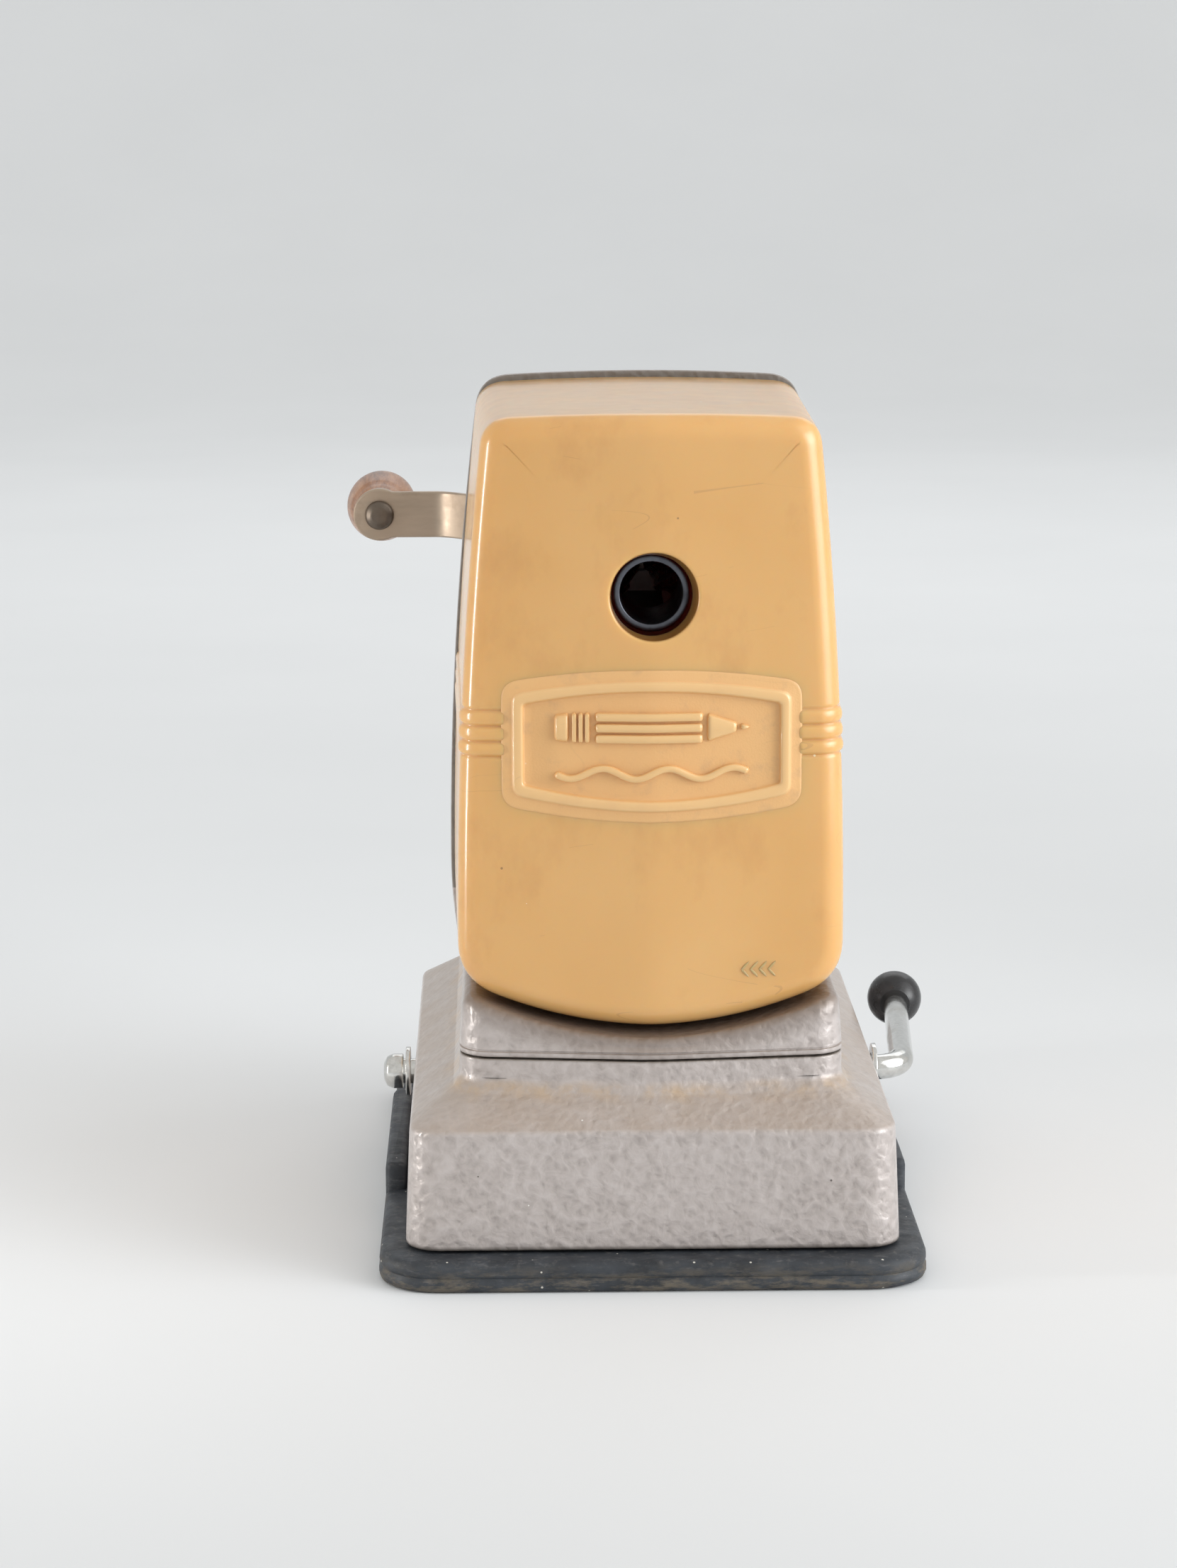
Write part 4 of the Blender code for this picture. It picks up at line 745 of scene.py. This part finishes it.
def make_badge_picture():
    """A plain pencil and the wavy line it has drawn, as moulded strokes."""
    middle_z, facet = 73.2, 1.45
    tall, deep = 0.45, BADGE_SUNK + 0.3
    eraser, ferrule, body, shoulder, lead, point = -12.9, -10.6, -7.6, 6.8, 11.3, 12.9
    strokes = []
    for z in (middle_z - facet, middle_z, middle_z + facet):
        strokes.append(([(body, z), (shoulder, z)], 0.62))
    for x in (ferrule + 0.35, ferrule + 1.2, ferrule + 2.05):
        strokes.append(([(x, middle_z - 2.1), (x, middle_z + 2.1)], 0.33))
    strokes.append(([(eraser, middle_z), (ferrule - 0.3, middle_z)], (1.75, 2.05)))
    strokes.append(([(shoulder + 0.4, middle_z), (lead, middle_z)], (2.05, 0.62)))
    strokes.append(([(lead + 0.25, middle_z), (point, middle_z)], (0.52, 0.12)))
    x = np.linspace(-12.8, 12.8, 220)
    wave = np.stack([x, 67.1 + 0.7 * np.sin(x * math.tau / 8.6)], axis=1)
    strokes.append((wave, 0.5))
    shells = [bead(path, width, tall, deep) for path, width in strokes]
    build("badge_pencil_mark", shells, BADGE_AMBER, "receptacle", sharp=60)


def make_turn_arrows():
    """Four small arrowheads low on the face, showing which way the receptacle turns."""
    shells = []
    for x in (12.0, 13.2, 14.4, 15.6):
        shells.append(bead([(x + 0.95, 41.45), (x, 40.4), (x + 0.95, 39.35)], 0.16, 0.12, 0.02))
    build("turn_arrows", shells, AMBER, "receptacle", sharp=60)


# ---------------------------------------------------------------- castings


def rounded_box_loop(half_x, front, back, corner, bow=0.0):
    """A rounded rectangle in plan, with its front edge standing in a shallow V."""
    corners = [(half_x, back), (-half_x, back), (-half_x, front), (half_x, front)]
    arcs = []
    for (x, y), start in zip(corners, (0, 90, 180, 270)):
        centre = np.array([x - math.copysign(corner, x), y - corner if y == back else y + corner])
        angles = np.radians(start + np.linspace(0, 90, 9))
        arcs.append(centre + corner * np.stack([np.cos(angles), np.sin(angles)], axis=1))
    sides = []
    for arc, following in zip(arcs, arcs[1:] + arcs[:1]):
        sides.append(arc)
        steps = np.linspace(0, 1, 16)[1:-1, None]
        sides.append(arc[-1] + (following[0] - arc[-1]) * steps)
    loop = np.vstack(sides)
    front_share = smoothstep(0, front, loop[:, 1])
    loop[:, 1] += bow * soft_abs(loop[:, 0], 0.5) / half_x * front_share
    return loop


def plan_rows(path):
    """Rings from (half x, front, back, corner, height, bow) steps."""
    rows = []
    for half_x, front, back, corner, z, bow in path:
        rows.append(level(rounded_box_loop(half_x, front, back, max(corner, 0.3), bow), z))
    return rows


def make_base_casting():
    """The base as one skin, from its hollow underside over the skirt and slope to the neck."""
    half_x, half_y = BASE_HIGH[0], BASE_HIGH[1]
    bottom, top = BASE_LOW[2], BASE_HIGH[2]
    inner_x, inner_y = half_x - 2.7, half_y - 2.7
    path = [
        (24.0, -40.0, 40.0, 3.0, 26.0, 0),
        (inner_x - 6.4, -37.4, 37.4, 3.0, 26.0, 0),
        (inner_x - 6.0, -inner_y + 6, inner_y - 6, 3.0, 22.8, 0),
        (inner_x - 0.5, -inner_y + 0.5, inner_y - 0.5, 3.0, 18.4, 0),
        (inner_x, -inner_y, inner_y, 3.0, bottom, 0),
        (half_x, -half_y, half_y, 4.6, bottom, 0),
        (half_x - 0.66, -half_y + 0.5, half_y - 0.5, 4.6, 20.55, 0),
        (NECK_HALF_X + 0.9, NECK_FRONT - 0.9, NECK_BACK + 0.9, 4.4, 24.2, 2.2),
        (NECK_HALF_X, NECK_FRONT, NECK_BACK, 4.0, 25.6, NECK_BOW),
        (NECK_HALF_X, NECK_FRONT, NECK_BACK, 4.0, top, NECK_BOW),
        (NECK_HALF_X - 4, NECK_FRONT + 4, NECK_BACK - 4, 1.0, top, NECK_BOW),
        (6.0, -8.0, 8.0, 1.0, top, 0),
    ]
    radii = [0, 0, 1.5, 3.0, 0.6, 0.7, 0.8, 0.3, 0.7, 0.35, 0, 0]
    rows = plan_rows(eased(path, radii, 7))
    inside = plan_rows([(6.0, -8.0, 8.0, 1.0, 26.0, 0)])
    shells = [skin(inside + rows)]
    boss = eased([(0, 9.35), (2.6, 9.35), (2.6, 26.8), (0, 26.8)], 0.4, 3)
    for x, y in ((-22.0, -34.0), (-22.0, 34.0), (22.0, -34.0), (22.0, 34.0)):  # retainer's screws
        shells.append(lathe(boss, (x, y, 0), (0, 0, 1), 32))
    build("base_casting_skin", shells, PAINT, "frame", ["base_casting"], sharp=50)


def saddle_z(x):
    """Height of the hollow that the receptacle sits in."""
    return AXIS_Z - np.sqrt(SADDLE_RADIUS**2 - np.asarray(x, float) ** 2)


def pedestal_block(loop, top, edge):
    """A block on the joint line, with a rounded rim of this size under its top surface."""
    low = HOUSING_LOW[2]
    normals = outward_normals(loop)
    foot = [(8.0, 0), (0.15, 0), (0.04, 0.03), (0.0, 0.12), (0.0, 0.62)]
    groove = [(0.22, 0.72), (0.22, 0.86), (0.0, 0.98)]
    rows = [level(loop - normals * inset, low + up) for inset, up in foot + groove]
    start, draft = low + groove[-1][1], 0.35
    roof = top(loop[:, 0]) - 0.25
    for t in np.linspace(0.12, 1, 8):
        rows.append(level(loop - normals * draft * t, start + (roof - edge - start) * t))
    for angle in quarter(9):
        flat = loop - normals * (draft + edge * (1 - math.cos(angle)))[:, None]
        height = top(flat[:, 0])
        rows.append(level(flat, roof - edge + (edge + height - roof) * math.sin(angle)))
    rim = rows[-1][:, :2]
    middle = np.array([0.0, rim[:, 1].mean()])
    for scale in (0.93, 0.86, 0.78, 0.7, 0.6, 0.5, 0.4, 0.3, 0.2, 0.1, 0.02):
        flat = middle + (rim - middle) * scale
        rows.append(level(flat, top(flat[:, 0])))
    return skin(rows)


def pedestal_shells():
    """The saddle under the receptacle, and a level ledge inside the housing."""
    front = rounded_box_loop(NECK_HALF_X, NECK_FRONT, HOUSING_FRONT + 6, 4.0, NECK_BOW)
    saddle = pedestal_block(front, saddle_z, 1.0 + 1.5 * (np.abs(front[:, 0]) / NECK_HALF_X) ** 4)
    rear = rounded_box_loop(NECK_HALF_X - 0.05, HOUSING_FRONT - 0.05, NECK_BACK, 4.0)
    ledge = pedestal_block(rear, lambda x: np.full(len(x), PEDESTAL_TOP), np.full(len(rear), 0.8))
    return [saddle, ledge]


def housing_loop():
    """The housing's outline: a flat bottom, bulging sides and a barely arched top."""
    low, top, lower_belly = HOUSING_LOW[2], HOUSING_HIGH[2], 76.0

    def width(z, belly=HOUSING_BELLY):
        return HOUSING_HALF_X - (z - HOUSING_WIDEST_Z) ** 2 / (2 * belly)

    x = np.linspace(0, 25.2, 12)
    floor = np.stack([x, np.full(len(x), low)], axis=1)
    heights = np.linspace(low + 0.6, HOUSING_WIDEST_Z, 16)
    lower = np.stack([width(heights, lower_belly), heights], axis=1)
    heights = np.linspace(HOUSING_WIDEST_Z, HOUSING_SHOULDER_Z, 40)[1:]
    upper = np.stack([width(heights), heights], axis=1)
    edge_x = width(top) - 4.5
    corner = curve_points(upper[-1], (width(114.8), top - 0.62), (edge_x, top - 0.5), 13)[1:]
    x = np.linspace(edge_x, 0, 16)[1:]
    roof = np.stack([x, top - 0.5 * (x / edge_x) ** 2], axis=1)
    return mirrored(np.vstack([floor, lower, upper, corner, roof]))


def housing_shell():
    """The rear housing as one skin: outside, back, hub, bore, boss and cavity."""
    loop = housing_loop()
    angle = np.arctan2(loop[:, 1] - AXIS_Z, loop[:, 0])
    front, back, hub_back = HOUSING_FRONT, HOUSING_BACK, HOUSING_HIGH[1]
    floor, wall = loop[:, 1].min(), HOUSING_WALL

    def section(inset, y):
        """The outline at one place, drawn in by the taper; its flat bottom stays on the joint."""
        drawn = inset + HOUSING_TAPER * min(max((y - front) / (back - 5 - front), 0), 1)
        x = loop[:, 0] * (1 - drawn / HOUSING_HALF_X)
        z = floor + inset + (loop[:, 1] - floor) * (1 - (inset + drawn) / (HOUSING_HIGH[2] - floor))
        return np.column_stack([x, np.full(len(x), y), z])

    def circle(radius, y):
        x, z = radius * np.cos(angle), AXIS_Z + radius * np.sin(angle)
        return np.column_stack([x, np.full(len(x), y), z])

    def between(outer, inner, shares):
        return [outer + (inner - outer) * share for share in shares]

    rows = [section(0.55, front), section(0.16, front + 0.1), section(0.0, front + 0.5)]
    rows += [section(0.0, y) for y in np.linspace(front + 2, back - 4.2, 8)]
    for turn in quarter(10):
        rows.append(section(4.1 * (1 - math.cos(turn)), back - 4.2 + 4.2 * math.sin(turn)))
    rows += between(rows[-1], circle(9.8, back), np.linspace(0, 1, 12)[1:])
    for turn in quarter(6):
        rows.append(circle(9.8 - 1.8 * math.sin(turn), back + 1.8 * (1 - math.cos(turn))))
    rows += [circle(8.0, hub_back - 0.6), circle(7.82, hub_back - 0.18), circle(7.4, hub_back)]
    bore = [(5.1, hub_back), (4.8, hub_back - 0.3), (4.8, 20.4), (5.2, 20.0), (7.6, 20.0)]
    well = [(8.0, 20.4), (8.0, 33.5), (9.5, 35.0), (12.0, 35.0), (13.5, 33.5)]
    well += [(13.5, 18.4), (13.9, 18.0)]
    boss = [(19.1, 18.0), (19.5, 18.4), (19.5, 35.6)]
    rows += [circle(radius, y) for radius, y in bore + well + boss]
    inner_back = section(wall + 3.5, 36.5)
    rows += between(circle(20.2, 36.5), inner_back, np.linspace(0, 1, 8))
    rows += [section(wall + 1.6, 35.6), section(wall + 0.2, 33.0), section(wall, front + 8)]
    rows += [section(wall, front + 0.5), section(wall - 0.3, front)]
    return skin(rows, join_ends=True)


def make_body_casting():
    """The two-step pedestal, and the hollow housing that stands on it."""
    shells = [*pedestal_shells(), housing_shell()]
    build("body_casting_skin", shells, PAINT, "frame", ["body_casting"], sharp=50)


def make_foot():
    """The rubber foot round its suction well, with a raised lip along each side."""
    half_x, half_y = FOOT_HIGH[0], FOOT_HIGH[1]
    well, top = 24.5, 7.5
    edge = [(0.9, 0.0), (0.25, 0.28), (0.0, 0.9), (0.0, 1.5), (0.22, 1.75), (0.30, 2.0), (0.12, 2.25)]
    edge += [(0.05, 2.7), (0.12, 3.3), (0.5, 3.85), (1.1, 4.1), (2.2, 4.15), (3.9, 4.15)]
    step = [(6.9, 4.18), (6.95, 7.3), (7.3, top)]
    path = [(half_x - i, -half_y + i, half_y - i, max(8.0 - i, 2.0), z, 0) for i, z in edge + step]
    rows = plan_rows(path)
    flat, inner = rows[0], rows[-1]
    angle = np.arctan2(flat[:, 1], flat[:, 0])

    def circle(radius, z):
        return level(radius * np.column_stack([np.cos(angle), np.sin(angle)]), z)

    rows += [inner + (circle(well + 0.4, top) - inner) * t for t in (0.35, 0.7, 1.0)]
    rows += [circle(well, 7.2), circle(well, 0.35)]
    rows += [flat + (circle(well + 0.4, 0.0) - flat) * t for t in (1.0, 0.66, 0.33)]
    shells = [skin(rows, join_ends=True)]
    lip_low, lip_high = LEVER_Y - 20, LEVER_Y + 20
    for side in (-1, 1):
        near_x, far_x = 33.45 * side, 36.45 * side
        plan = [(near_x, lip_low), (far_x, lip_low), (far_x, lip_high), (near_x, lip_high)]
        ring = eased_loop(plan, 1.2, 5)[::side]
        ring = filled(np.vstack([ring, ring[:1]]), 2.5)[:-1]
        lip = [(0, 1.0), (0, 6.9), (0.12, 7.5), (0.45, 7.9), (0.9, 8.0)]
        shells.append(skin([level(ring - outward_normals(ring) * inset, z) for inset, z in lip]))
    build("suction_foot_rubber", shells, RUBBER, "frame", ["suction_foot"], sharp=50)


def make_diaphragm():
    """A disc with two raised rings and a turned-up rim."""
    radius, _, top = box("suction_diaphragm")[1]
    rings = [(6, 0), (6.6, 0.35), (7.4, 0.35), (8, 0), (14, 0), (14.6, 0.35), (15.4, 0.35), (16, 0)]
    rim = [(22.9, 0), (radius, 0.6), (radius, top - 0.7), (radius - 0.8, top)]
    shell = lathe(eased([(0, 0), *rings, *rim, (0, top)], 0.25, 3), (0, 0, 0), (0, 0, 1), 96)
    build("suction_diaphragm_rubber", [shell], RUBBER, "lift", ["suction_diaphragm"], sharp=50)


# ---------------------------------------------------------------- crank


def sweep(path, radius, steps=36):
    """A round rod along a path of points."""
    path = np.asarray(path, float)
    along = np.gradient(path, axis=0)
    along /= np.linalg.norm(along, axis=1, keepdims=True)
    side = across(along[0])[0]
    radii = np.broadcast_to(radius, len(path))
    angles = np.linspace(0, math.tau, steps, endpoint=False)
    rows = []
    for point, forward, size in zip(path, along, radii):
        side = side - forward * (side @ forward)
        side /= np.linalg.norm(side)
        up = np.cross(forward, side)
        rows.append(point + size * (np.outer(np.cos(angles), side) + np.outer(np.sin(angles), up)))
    return skin(rows)


def slotted(shell, seat, direction, width, depth, reach):
    """Cut a screwdriver slot across a head. seat is on the head's top, and direction points into it."""
    side, up, into = across(direction)
    corners = []
    for c in (-1, 1):
        for a, b in ((-1, -1), (1, -1), (1, 1), (-1, 1)):
            corners.append(seat + side * a * reach + up * b * width / 2 + into * (c * depth))
    quads = [(0, 1, 2, 3), (7, 6, 5, 4), (0, 4, 5, 1), (1, 5, 6, 2), (2, 6, 7, 3), (3, 7, 4, 0)]
    holders = []
    for points, faces in (shell, (np.array(corners), quads)):
        one_unit_to_the_millimetre = points / MM
        work = mesh_of("slot_work", [(one_unit_to_the_millimetre, faces)])
        holders.append(add_object("slot_work", work))
    head, blade = holders
    step = head.modifiers.new("slot", "BOOLEAN")
    step.operation, step.solver, step.object = "DIFFERENCE", "EXACT", blade
    done = head.evaluated_get(bpy.context.evaluated_depsgraph_get()).to_mesh()
    result = (np.array([v.co[:] for v in done.vertices]), [list(p.vertices) for p in done.polygons])
    for holder in holders:
        mesh = holder.data
        bpy.data.objects.remove(holder)
        bpy.data.meshes.remove(mesh)
    return result


def make_arm():
    """A flat strip with round ends, set back by a smooth joggle between the hub and the knob."""
    low, high = box("crank_arm")
    thickness, hub_radius, end_radius, half_width = 1.6, high[0], KNOB_X - low[0], 3.5
    hub_y, outer_y = low[1], high[1] - thickness
    hub_x = hub_radius * np.cos(np.linspace(0, math.pi, 26)[:20] * 0.72)
    end_x = KNOB_X + end_radius * np.cos(np.linspace(0.45, math.pi, 22))
    x = np.concatenate([hub_x, np.linspace(-4.4, KNOB_X + 4.6, 60), end_x])
    x = np.unique(np.round(np.clip(x, low[0] + 0.02, high[0] - 0.02), 4))[::-1]
    hub = np.sqrt(np.clip(hub_radius**2 - x**2, 0.02, None))
    end = np.sqrt(np.clip(end_radius**2 - (x - KNOB_X) ** 2, 0.02, None))
    strip = np.where((x > KNOB_X) & (x < 0), half_width, 0)
    hub = np.where(x > -hub_radius, hub, 0)
    end = np.where(x < KNOB_X + end_radius, end, 0)
    width = np.maximum(np.maximum(hub, end), strip)
    middle = hub_y + (outer_y - hub_y) * smoothstep(-20.0, -30.0, x)
    edge = 0.35
    rows = []
    for place_x, half, y in zip(x, width, middle):
        soft = min(edge, 0.8 * half)
        plan = [(-half, 0), (half, 0), (half, thickness), (-half, thickness)]
        ring = eased_loop(plan, soft, 4)
        rows.append([(place_x, y + across_y, AXIS_Z + z) for z, across_y in ring])
    build("crank_arm_strip", [skin(rows)], ARM_STEEL, "crank", ["crank_arm"], sharp=50)


def make_crank_fasteners():
    """The slotted screw that holds the crank, and its washers."""
    low, high = box("crank_screw")
    radius, back, shank, head_depth = high[0], high[1], 1.5, 2.2
    dome = [(0, 0), (0.55 * radius, 0.08), (0.85 * radius, 0.42), (radius, 1.15), (radius, head_depth)]
    tail = [(shank, head_depth), (shank, back - low[1]), (0, back - low[1])]
    start, inwards = np.array([0, back, AXIS_Z]), (0, -1, 0)
    shell = lathe(eased(dome + tail, 0.3, 4), start, inwards, 64)
    shell = slotted(shell, start, inwards, 0.85, 1.1, radius + 1)
    build("crank_screw_head", [shell], STEEL, "crank", ["crank_screw"])
    for name, bore in (("lock_washer", 1.9), ("thrust_washer", 3.3)):
        low, high = box(name)
        shell = ring_shell(bore, high[0], low[1], high[1], PENCIL_LINE, ALONG_Y)
        build(f"{name}_ring", [shell], STEEL, "crank", [name])


def make_knob():
    """The turned wooden knob, with two scored rings, on its rivet and washer."""
    low, high = box("crank_knob")
    front, length = low[1], high[1] - low[1]
    radius = (high[0] - low[0]) / 2
    base = np.array([KNOB_X, 0, AXIS_Z])
    shape = [(1.9, 0), (2.75, 0.0), (3.3, 0.25), (3.6, 0.7)]
    for share in np.linspace(0.06, 0.94, 26):
        swell = math.sin(math.pi * (0.12 + 0.76 * share))
        shape.append((min(3.2 + (radius - 3.2) * (swell - 0.37) / 0.63, radius), length * share))
    shape += [(3.45, length - 0.7), (3.15, length - 0.2), (2.7, length), (1.9, length)]
    for spot in (0.17, 0.83):
        for number, (size, along) in enumerate(shape):
            if abs(along / length - spot) < 0.012:
                shape[number] = (size - 0.16, along)
    profile = [(size, front + along) for size, along in shape]
    turned = lathe(profile, base, ALONG_Y, 96, ring=True)
    build("crank_knob_turned", [turned], WOOD, "knob", ["crank_knob"])
    first, last = [corner[1] for corner in box("knob_rivet")]
    head = [(0, first), (1.2, first + 0.08), (2.0, first + 0.55), (2.3, first + 1.2), (1.6, first + 1.3)]
    tail = [(1.6, last - 1.15), (2.6, last - 1.1), (2.3, last - 0.5), (1.4, last - 0.08), (0, last)]
    shell = lathe(eased(head + tail, 0.25, 4), base, ALONG_Y, 64)
    build("knob_rivet_pin", [shell], DULL_STEEL, "crank", ["knob_rivet"])
    low, high = box("knob_washer")
    shell = ring_shell(1.9, (high[0] - low[0]) / 2, low[1], high[1], base, ALONG_Y)
    build("knob_washer_ring", [shell], STEEL, "crank", ["knob_washer"])


def make_tube():
    """The pencil's tube, with a rolled lip at its open end."""
    low, high = box("pencil_tube")
    outer, inner = high[0], high[0] - 1.1
    front, back = low[1], high[1]
    profile = [(outer, front + 0.6), (outer, back), (inner, back), (inner, front + 0.7)]
    profile += [(inner + 0.02, front + 0.25), (inner + 0.10, front + 0.05), (inner + 0.20, front)]
    for inset, behind in ((0.30, 0.02), (0.12, 0.12), (0.02, 0.32)):
        profile.append((outer - inset, front + behind))
    shell = lathe(profile, PENCIL_LINE, ALONG_Y, 96, ring=True)
    build("pencil_tube_rolled", [shell], BLACK_STEEL, "crank", ["pencil_tube"], sharp=50)


# ---------------------------------------------------------------- lever


def make_lever():
    """The bent rod through the base with its ball, and the cap and washers at its ends."""
    rod_start = box("lever_rod")[0][0]
    low, high = box("lever_knob")
    ball, ball_radius = (low + high) / 2, (high[0] - low[0]) / 2
    corner = np.array([ball[0] - 2.4, LEVER_Y, LEVER_Z])
    towards = (ball - corner) / np.linalg.norm(ball - corner)
    ends = [(rod_start, LEVER_Y, LEVER_Z), corner, ball - towards * 1.2]
    path = filled(eased(ends, 5.0, 18), 1.2)
    build("lever_rod_bent", [sweep(path, 1.8, 40)], CHROME, "lever", ["lever_rod"])
    collar, collar_radius = -ball_radius * 0.86, 2.45
    profile = [(0, collar), (collar_radius - 0.2, collar), (collar_radius, collar + 0.2)]
    for angle in np.linspace(math.asin(collar_radius / ball_radius), math.pi, 40):
        profile.append((ball_radius * math.sin(angle), -ball_radius * math.cos(angle)))
    build("lever_knob_ball", [lathe(profile, ball, towards, 72)], BALL, "lever", ["lever_knob"])
    low, high = box("axle_cap")
    radius, depth = (high[1] - low[1]) / 2, high[0] - low[0]
    dome = [(0, 0), (0.5 * radius, 0.1), (0.85 * radius, 0.55), (radius, 1.4), (radius, depth)]
    socket = [(2.05, depth), (2.05, 1.5), (0, 1.5)]
    shell = lathe(eased(dome + socket, 0.25, 4), (low[0], LEVER_Y, LEVER_Z), (1, 0, 0), 64)
    build("axle_cap_domed", [shell], CHROME, "lever", ["axle_cap"])
    for side in ("left", "right"):
        low, high = box(f"axle_washer_{side}")
        radius = (high[1] - low[1]) / 2
        shell = ring_shell(2.1, radius, low[0], high[0], (0, LEVER_Y, LEVER_Z), (1, 0, 0))
        build(f"axle_washer_{side}_ring", [shell], CHROME, "frame", [f"axle_washer_{side}"])


# ---------------------------------------------------------------- carried-over pieces


FINISHES = {
    CUTTER_STEEL: ("cutter_left", "cutter_right", "pinion_left", "pinion_right"),
    CAST_METAL: ("cutter_carrier", "ring_gear", "lift_plate"),
    STEEL: (
        *[f"{kind}_screw_{number}" for kind in ("retainer", "body") for number in (1, 2, 3, 4)],
        *[f"ring_gear_screw_{number}" for number in (1, 2, 3)],
        *("foot_retainer", "receptacle_catch", "lift_cam", "lift_stirrup", "lift_nut"),
    ),
    CHROME: ("crank_shaft", "cutter_axle_left", "cutter_axle_right"),
    BRONZE: ("shaft_bush",),
    BLACK_STEEL: ("cam_set_screw",),
}


def finish_cad_pieces():
    """The CAD shapes that stay get detailed materials and softened edges."""
    for material, names in FINISHES.items():
        for name in names:
            obj = frame["nodes"][name]
            for place in obj.material_slots:
                place.material = material
            soft = obj.modifiers.new("soft_edges", "BEVEL")
            soft.width = 0.12 * MM
            soft.segments = 2
            soft.limit_method = "ANGLE"
            soft.angle_limit = math.radians(35)


# ---------------------------------------------------------------- stage, lights and camera


def make_stage():
    """A pale floor that sweeps up into a backdrop."""
    reach, turn_start, turn_radius, height = 3.0, 1.1, 0.9, 2.2
    profile = [(-2.2, 0.0), (turn_start, 0.0)]
    for angle in np.linspace(0, math.pi / 2, 13)[1:]:
        profile.append((turn_start + turn_radius * math.sin(angle), turn_radius * (1 - math.cos(angle))))
    profile.append((turn_start + turn_radius, height))
    mesh = bpy.data.meshes.new("floor_sweep")
    points = [(side * reach, y, z) for y, z in profile for side in (-1, 1)]
    faces = [(2 * i, 2 * i + 1, 2 * i + 3, 2 * i + 2) for i in range(len(profile) - 1)]
    mesh.from_pydata(points, [], faces)
    for polygon in mesh.polygons:
        polygon.use_smooth = True
    floor = add_object("floor_sweep", mesh)
    pale = Finish("pale_floor")
    tone = pale.patches((0.3, (0.775, 0.795, 0.815)), (0.7, (0.795, 0.815, 0.835)), 9.0, 3.0)
    mesh.materials.append(pale.shader(Base_Color=tone, Roughness=0.75, Specular_IOR_Level=0.25))


def area_light(name, at, target, size, power, spread, colour):
    """A rectangular light in metres and watts, spreading by this many degrees."""
    light = bpy.data.lights.new(name, "AREA")
    light.energy = power
    light.spread = math.radians(spread)
    light.color = colour
    light.shape = "RECTANGLE"
    light.size, light.size_y = size
    aim_light(light, at, target)


def aim_light(light, at, target):
    """Put a light in the scene, pointing at a target."""
    holder = add_object(light.name, light)
    holder.location = at
    holder.rotation_euler = (Vector(target) - Vector(at)).to_track_quat("-Z", "Y").to_euler()


def make_lights():
    """Even daylight, a soft sun, a window on the right, a thin strip on the left, and sky behind."""
    middle = (0, 0, 0.06)
    soft_sun = bpy.data.lights.new("soft_sun", "SUN")
    soft_sun.energy = 0.74
    soft_sun.angle = math.radians(60)
    soft_sun.color = (0.975, 0.985, 1.0)
    aim_light(soft_sun, (1.3, -0.45, 0.9), middle)
    cool, warm, clear = (0.965, 0.985, 1.0), (1.0, 0.98, 0.95), (0.985, 0.99, 1.0)
    area_light("window_right", (0.265, -0.13, 0.145), (0, -0.03, 0.085), (0.28, 0.26), 0.165, 60, cool)
    area_light("strip_left", (-0.30, -0.06, 0.06), middle, (0.015, 0.20), 0.15, 100, warm)
    area_light("sky_behind", (0.15, 0.75, 0.60), (0.1, 0.45, 0), (0.9, 0.5), 0.75, 140, clear)
    world = bpy.data.worlds.new("studio")
    bpy.context.scene.world = world
    world.use_nodes = True
    background = world.node_tree.nodes["Background"]
    background.inputs["Color"].default_value = (1.0, 0.987, 0.955, 1)
    background.inputs["Strength"].default_value = 0.715


def make_camera():
    """The photograph's view."""
    data = bpy.data.cameras.new("camera")
    data.lens = 89.51
    data.sensor_width = 36.0
    data.clip_start = 0.01
    camera = add_object("camera", data)
    yaw, tilt, roll = math.radians(-1.195), math.radians(90 - 10.67), math.radians(-0.13)
    turn = Matrix.Rotation(yaw, 4, "Z") @ Matrix.Rotation(tilt, 4, "X") @ Matrix.Rotation(roll, 4, "Z")
    camera.matrix_world = Matrix.Translation((-0.0189, -0.5438, 0.16081)) @ turn
    bpy.context.scene.camera = camera
    bpy.context.scene.view_settings.view_transform = "Standard"


# ---------------------------------------------------------------- everything


make_camera()
make_stage()
make_lights()
make_receptacle()
make_badge()
make_badge_picture()
make_turn_arrows()
make_base_casting()
make_body_casting()
make_foot()
make_diaphragm()
make_arm()
make_crank_fasteners()
make_knob()
make_tube()
make_lever()
finish_cad_pieces()
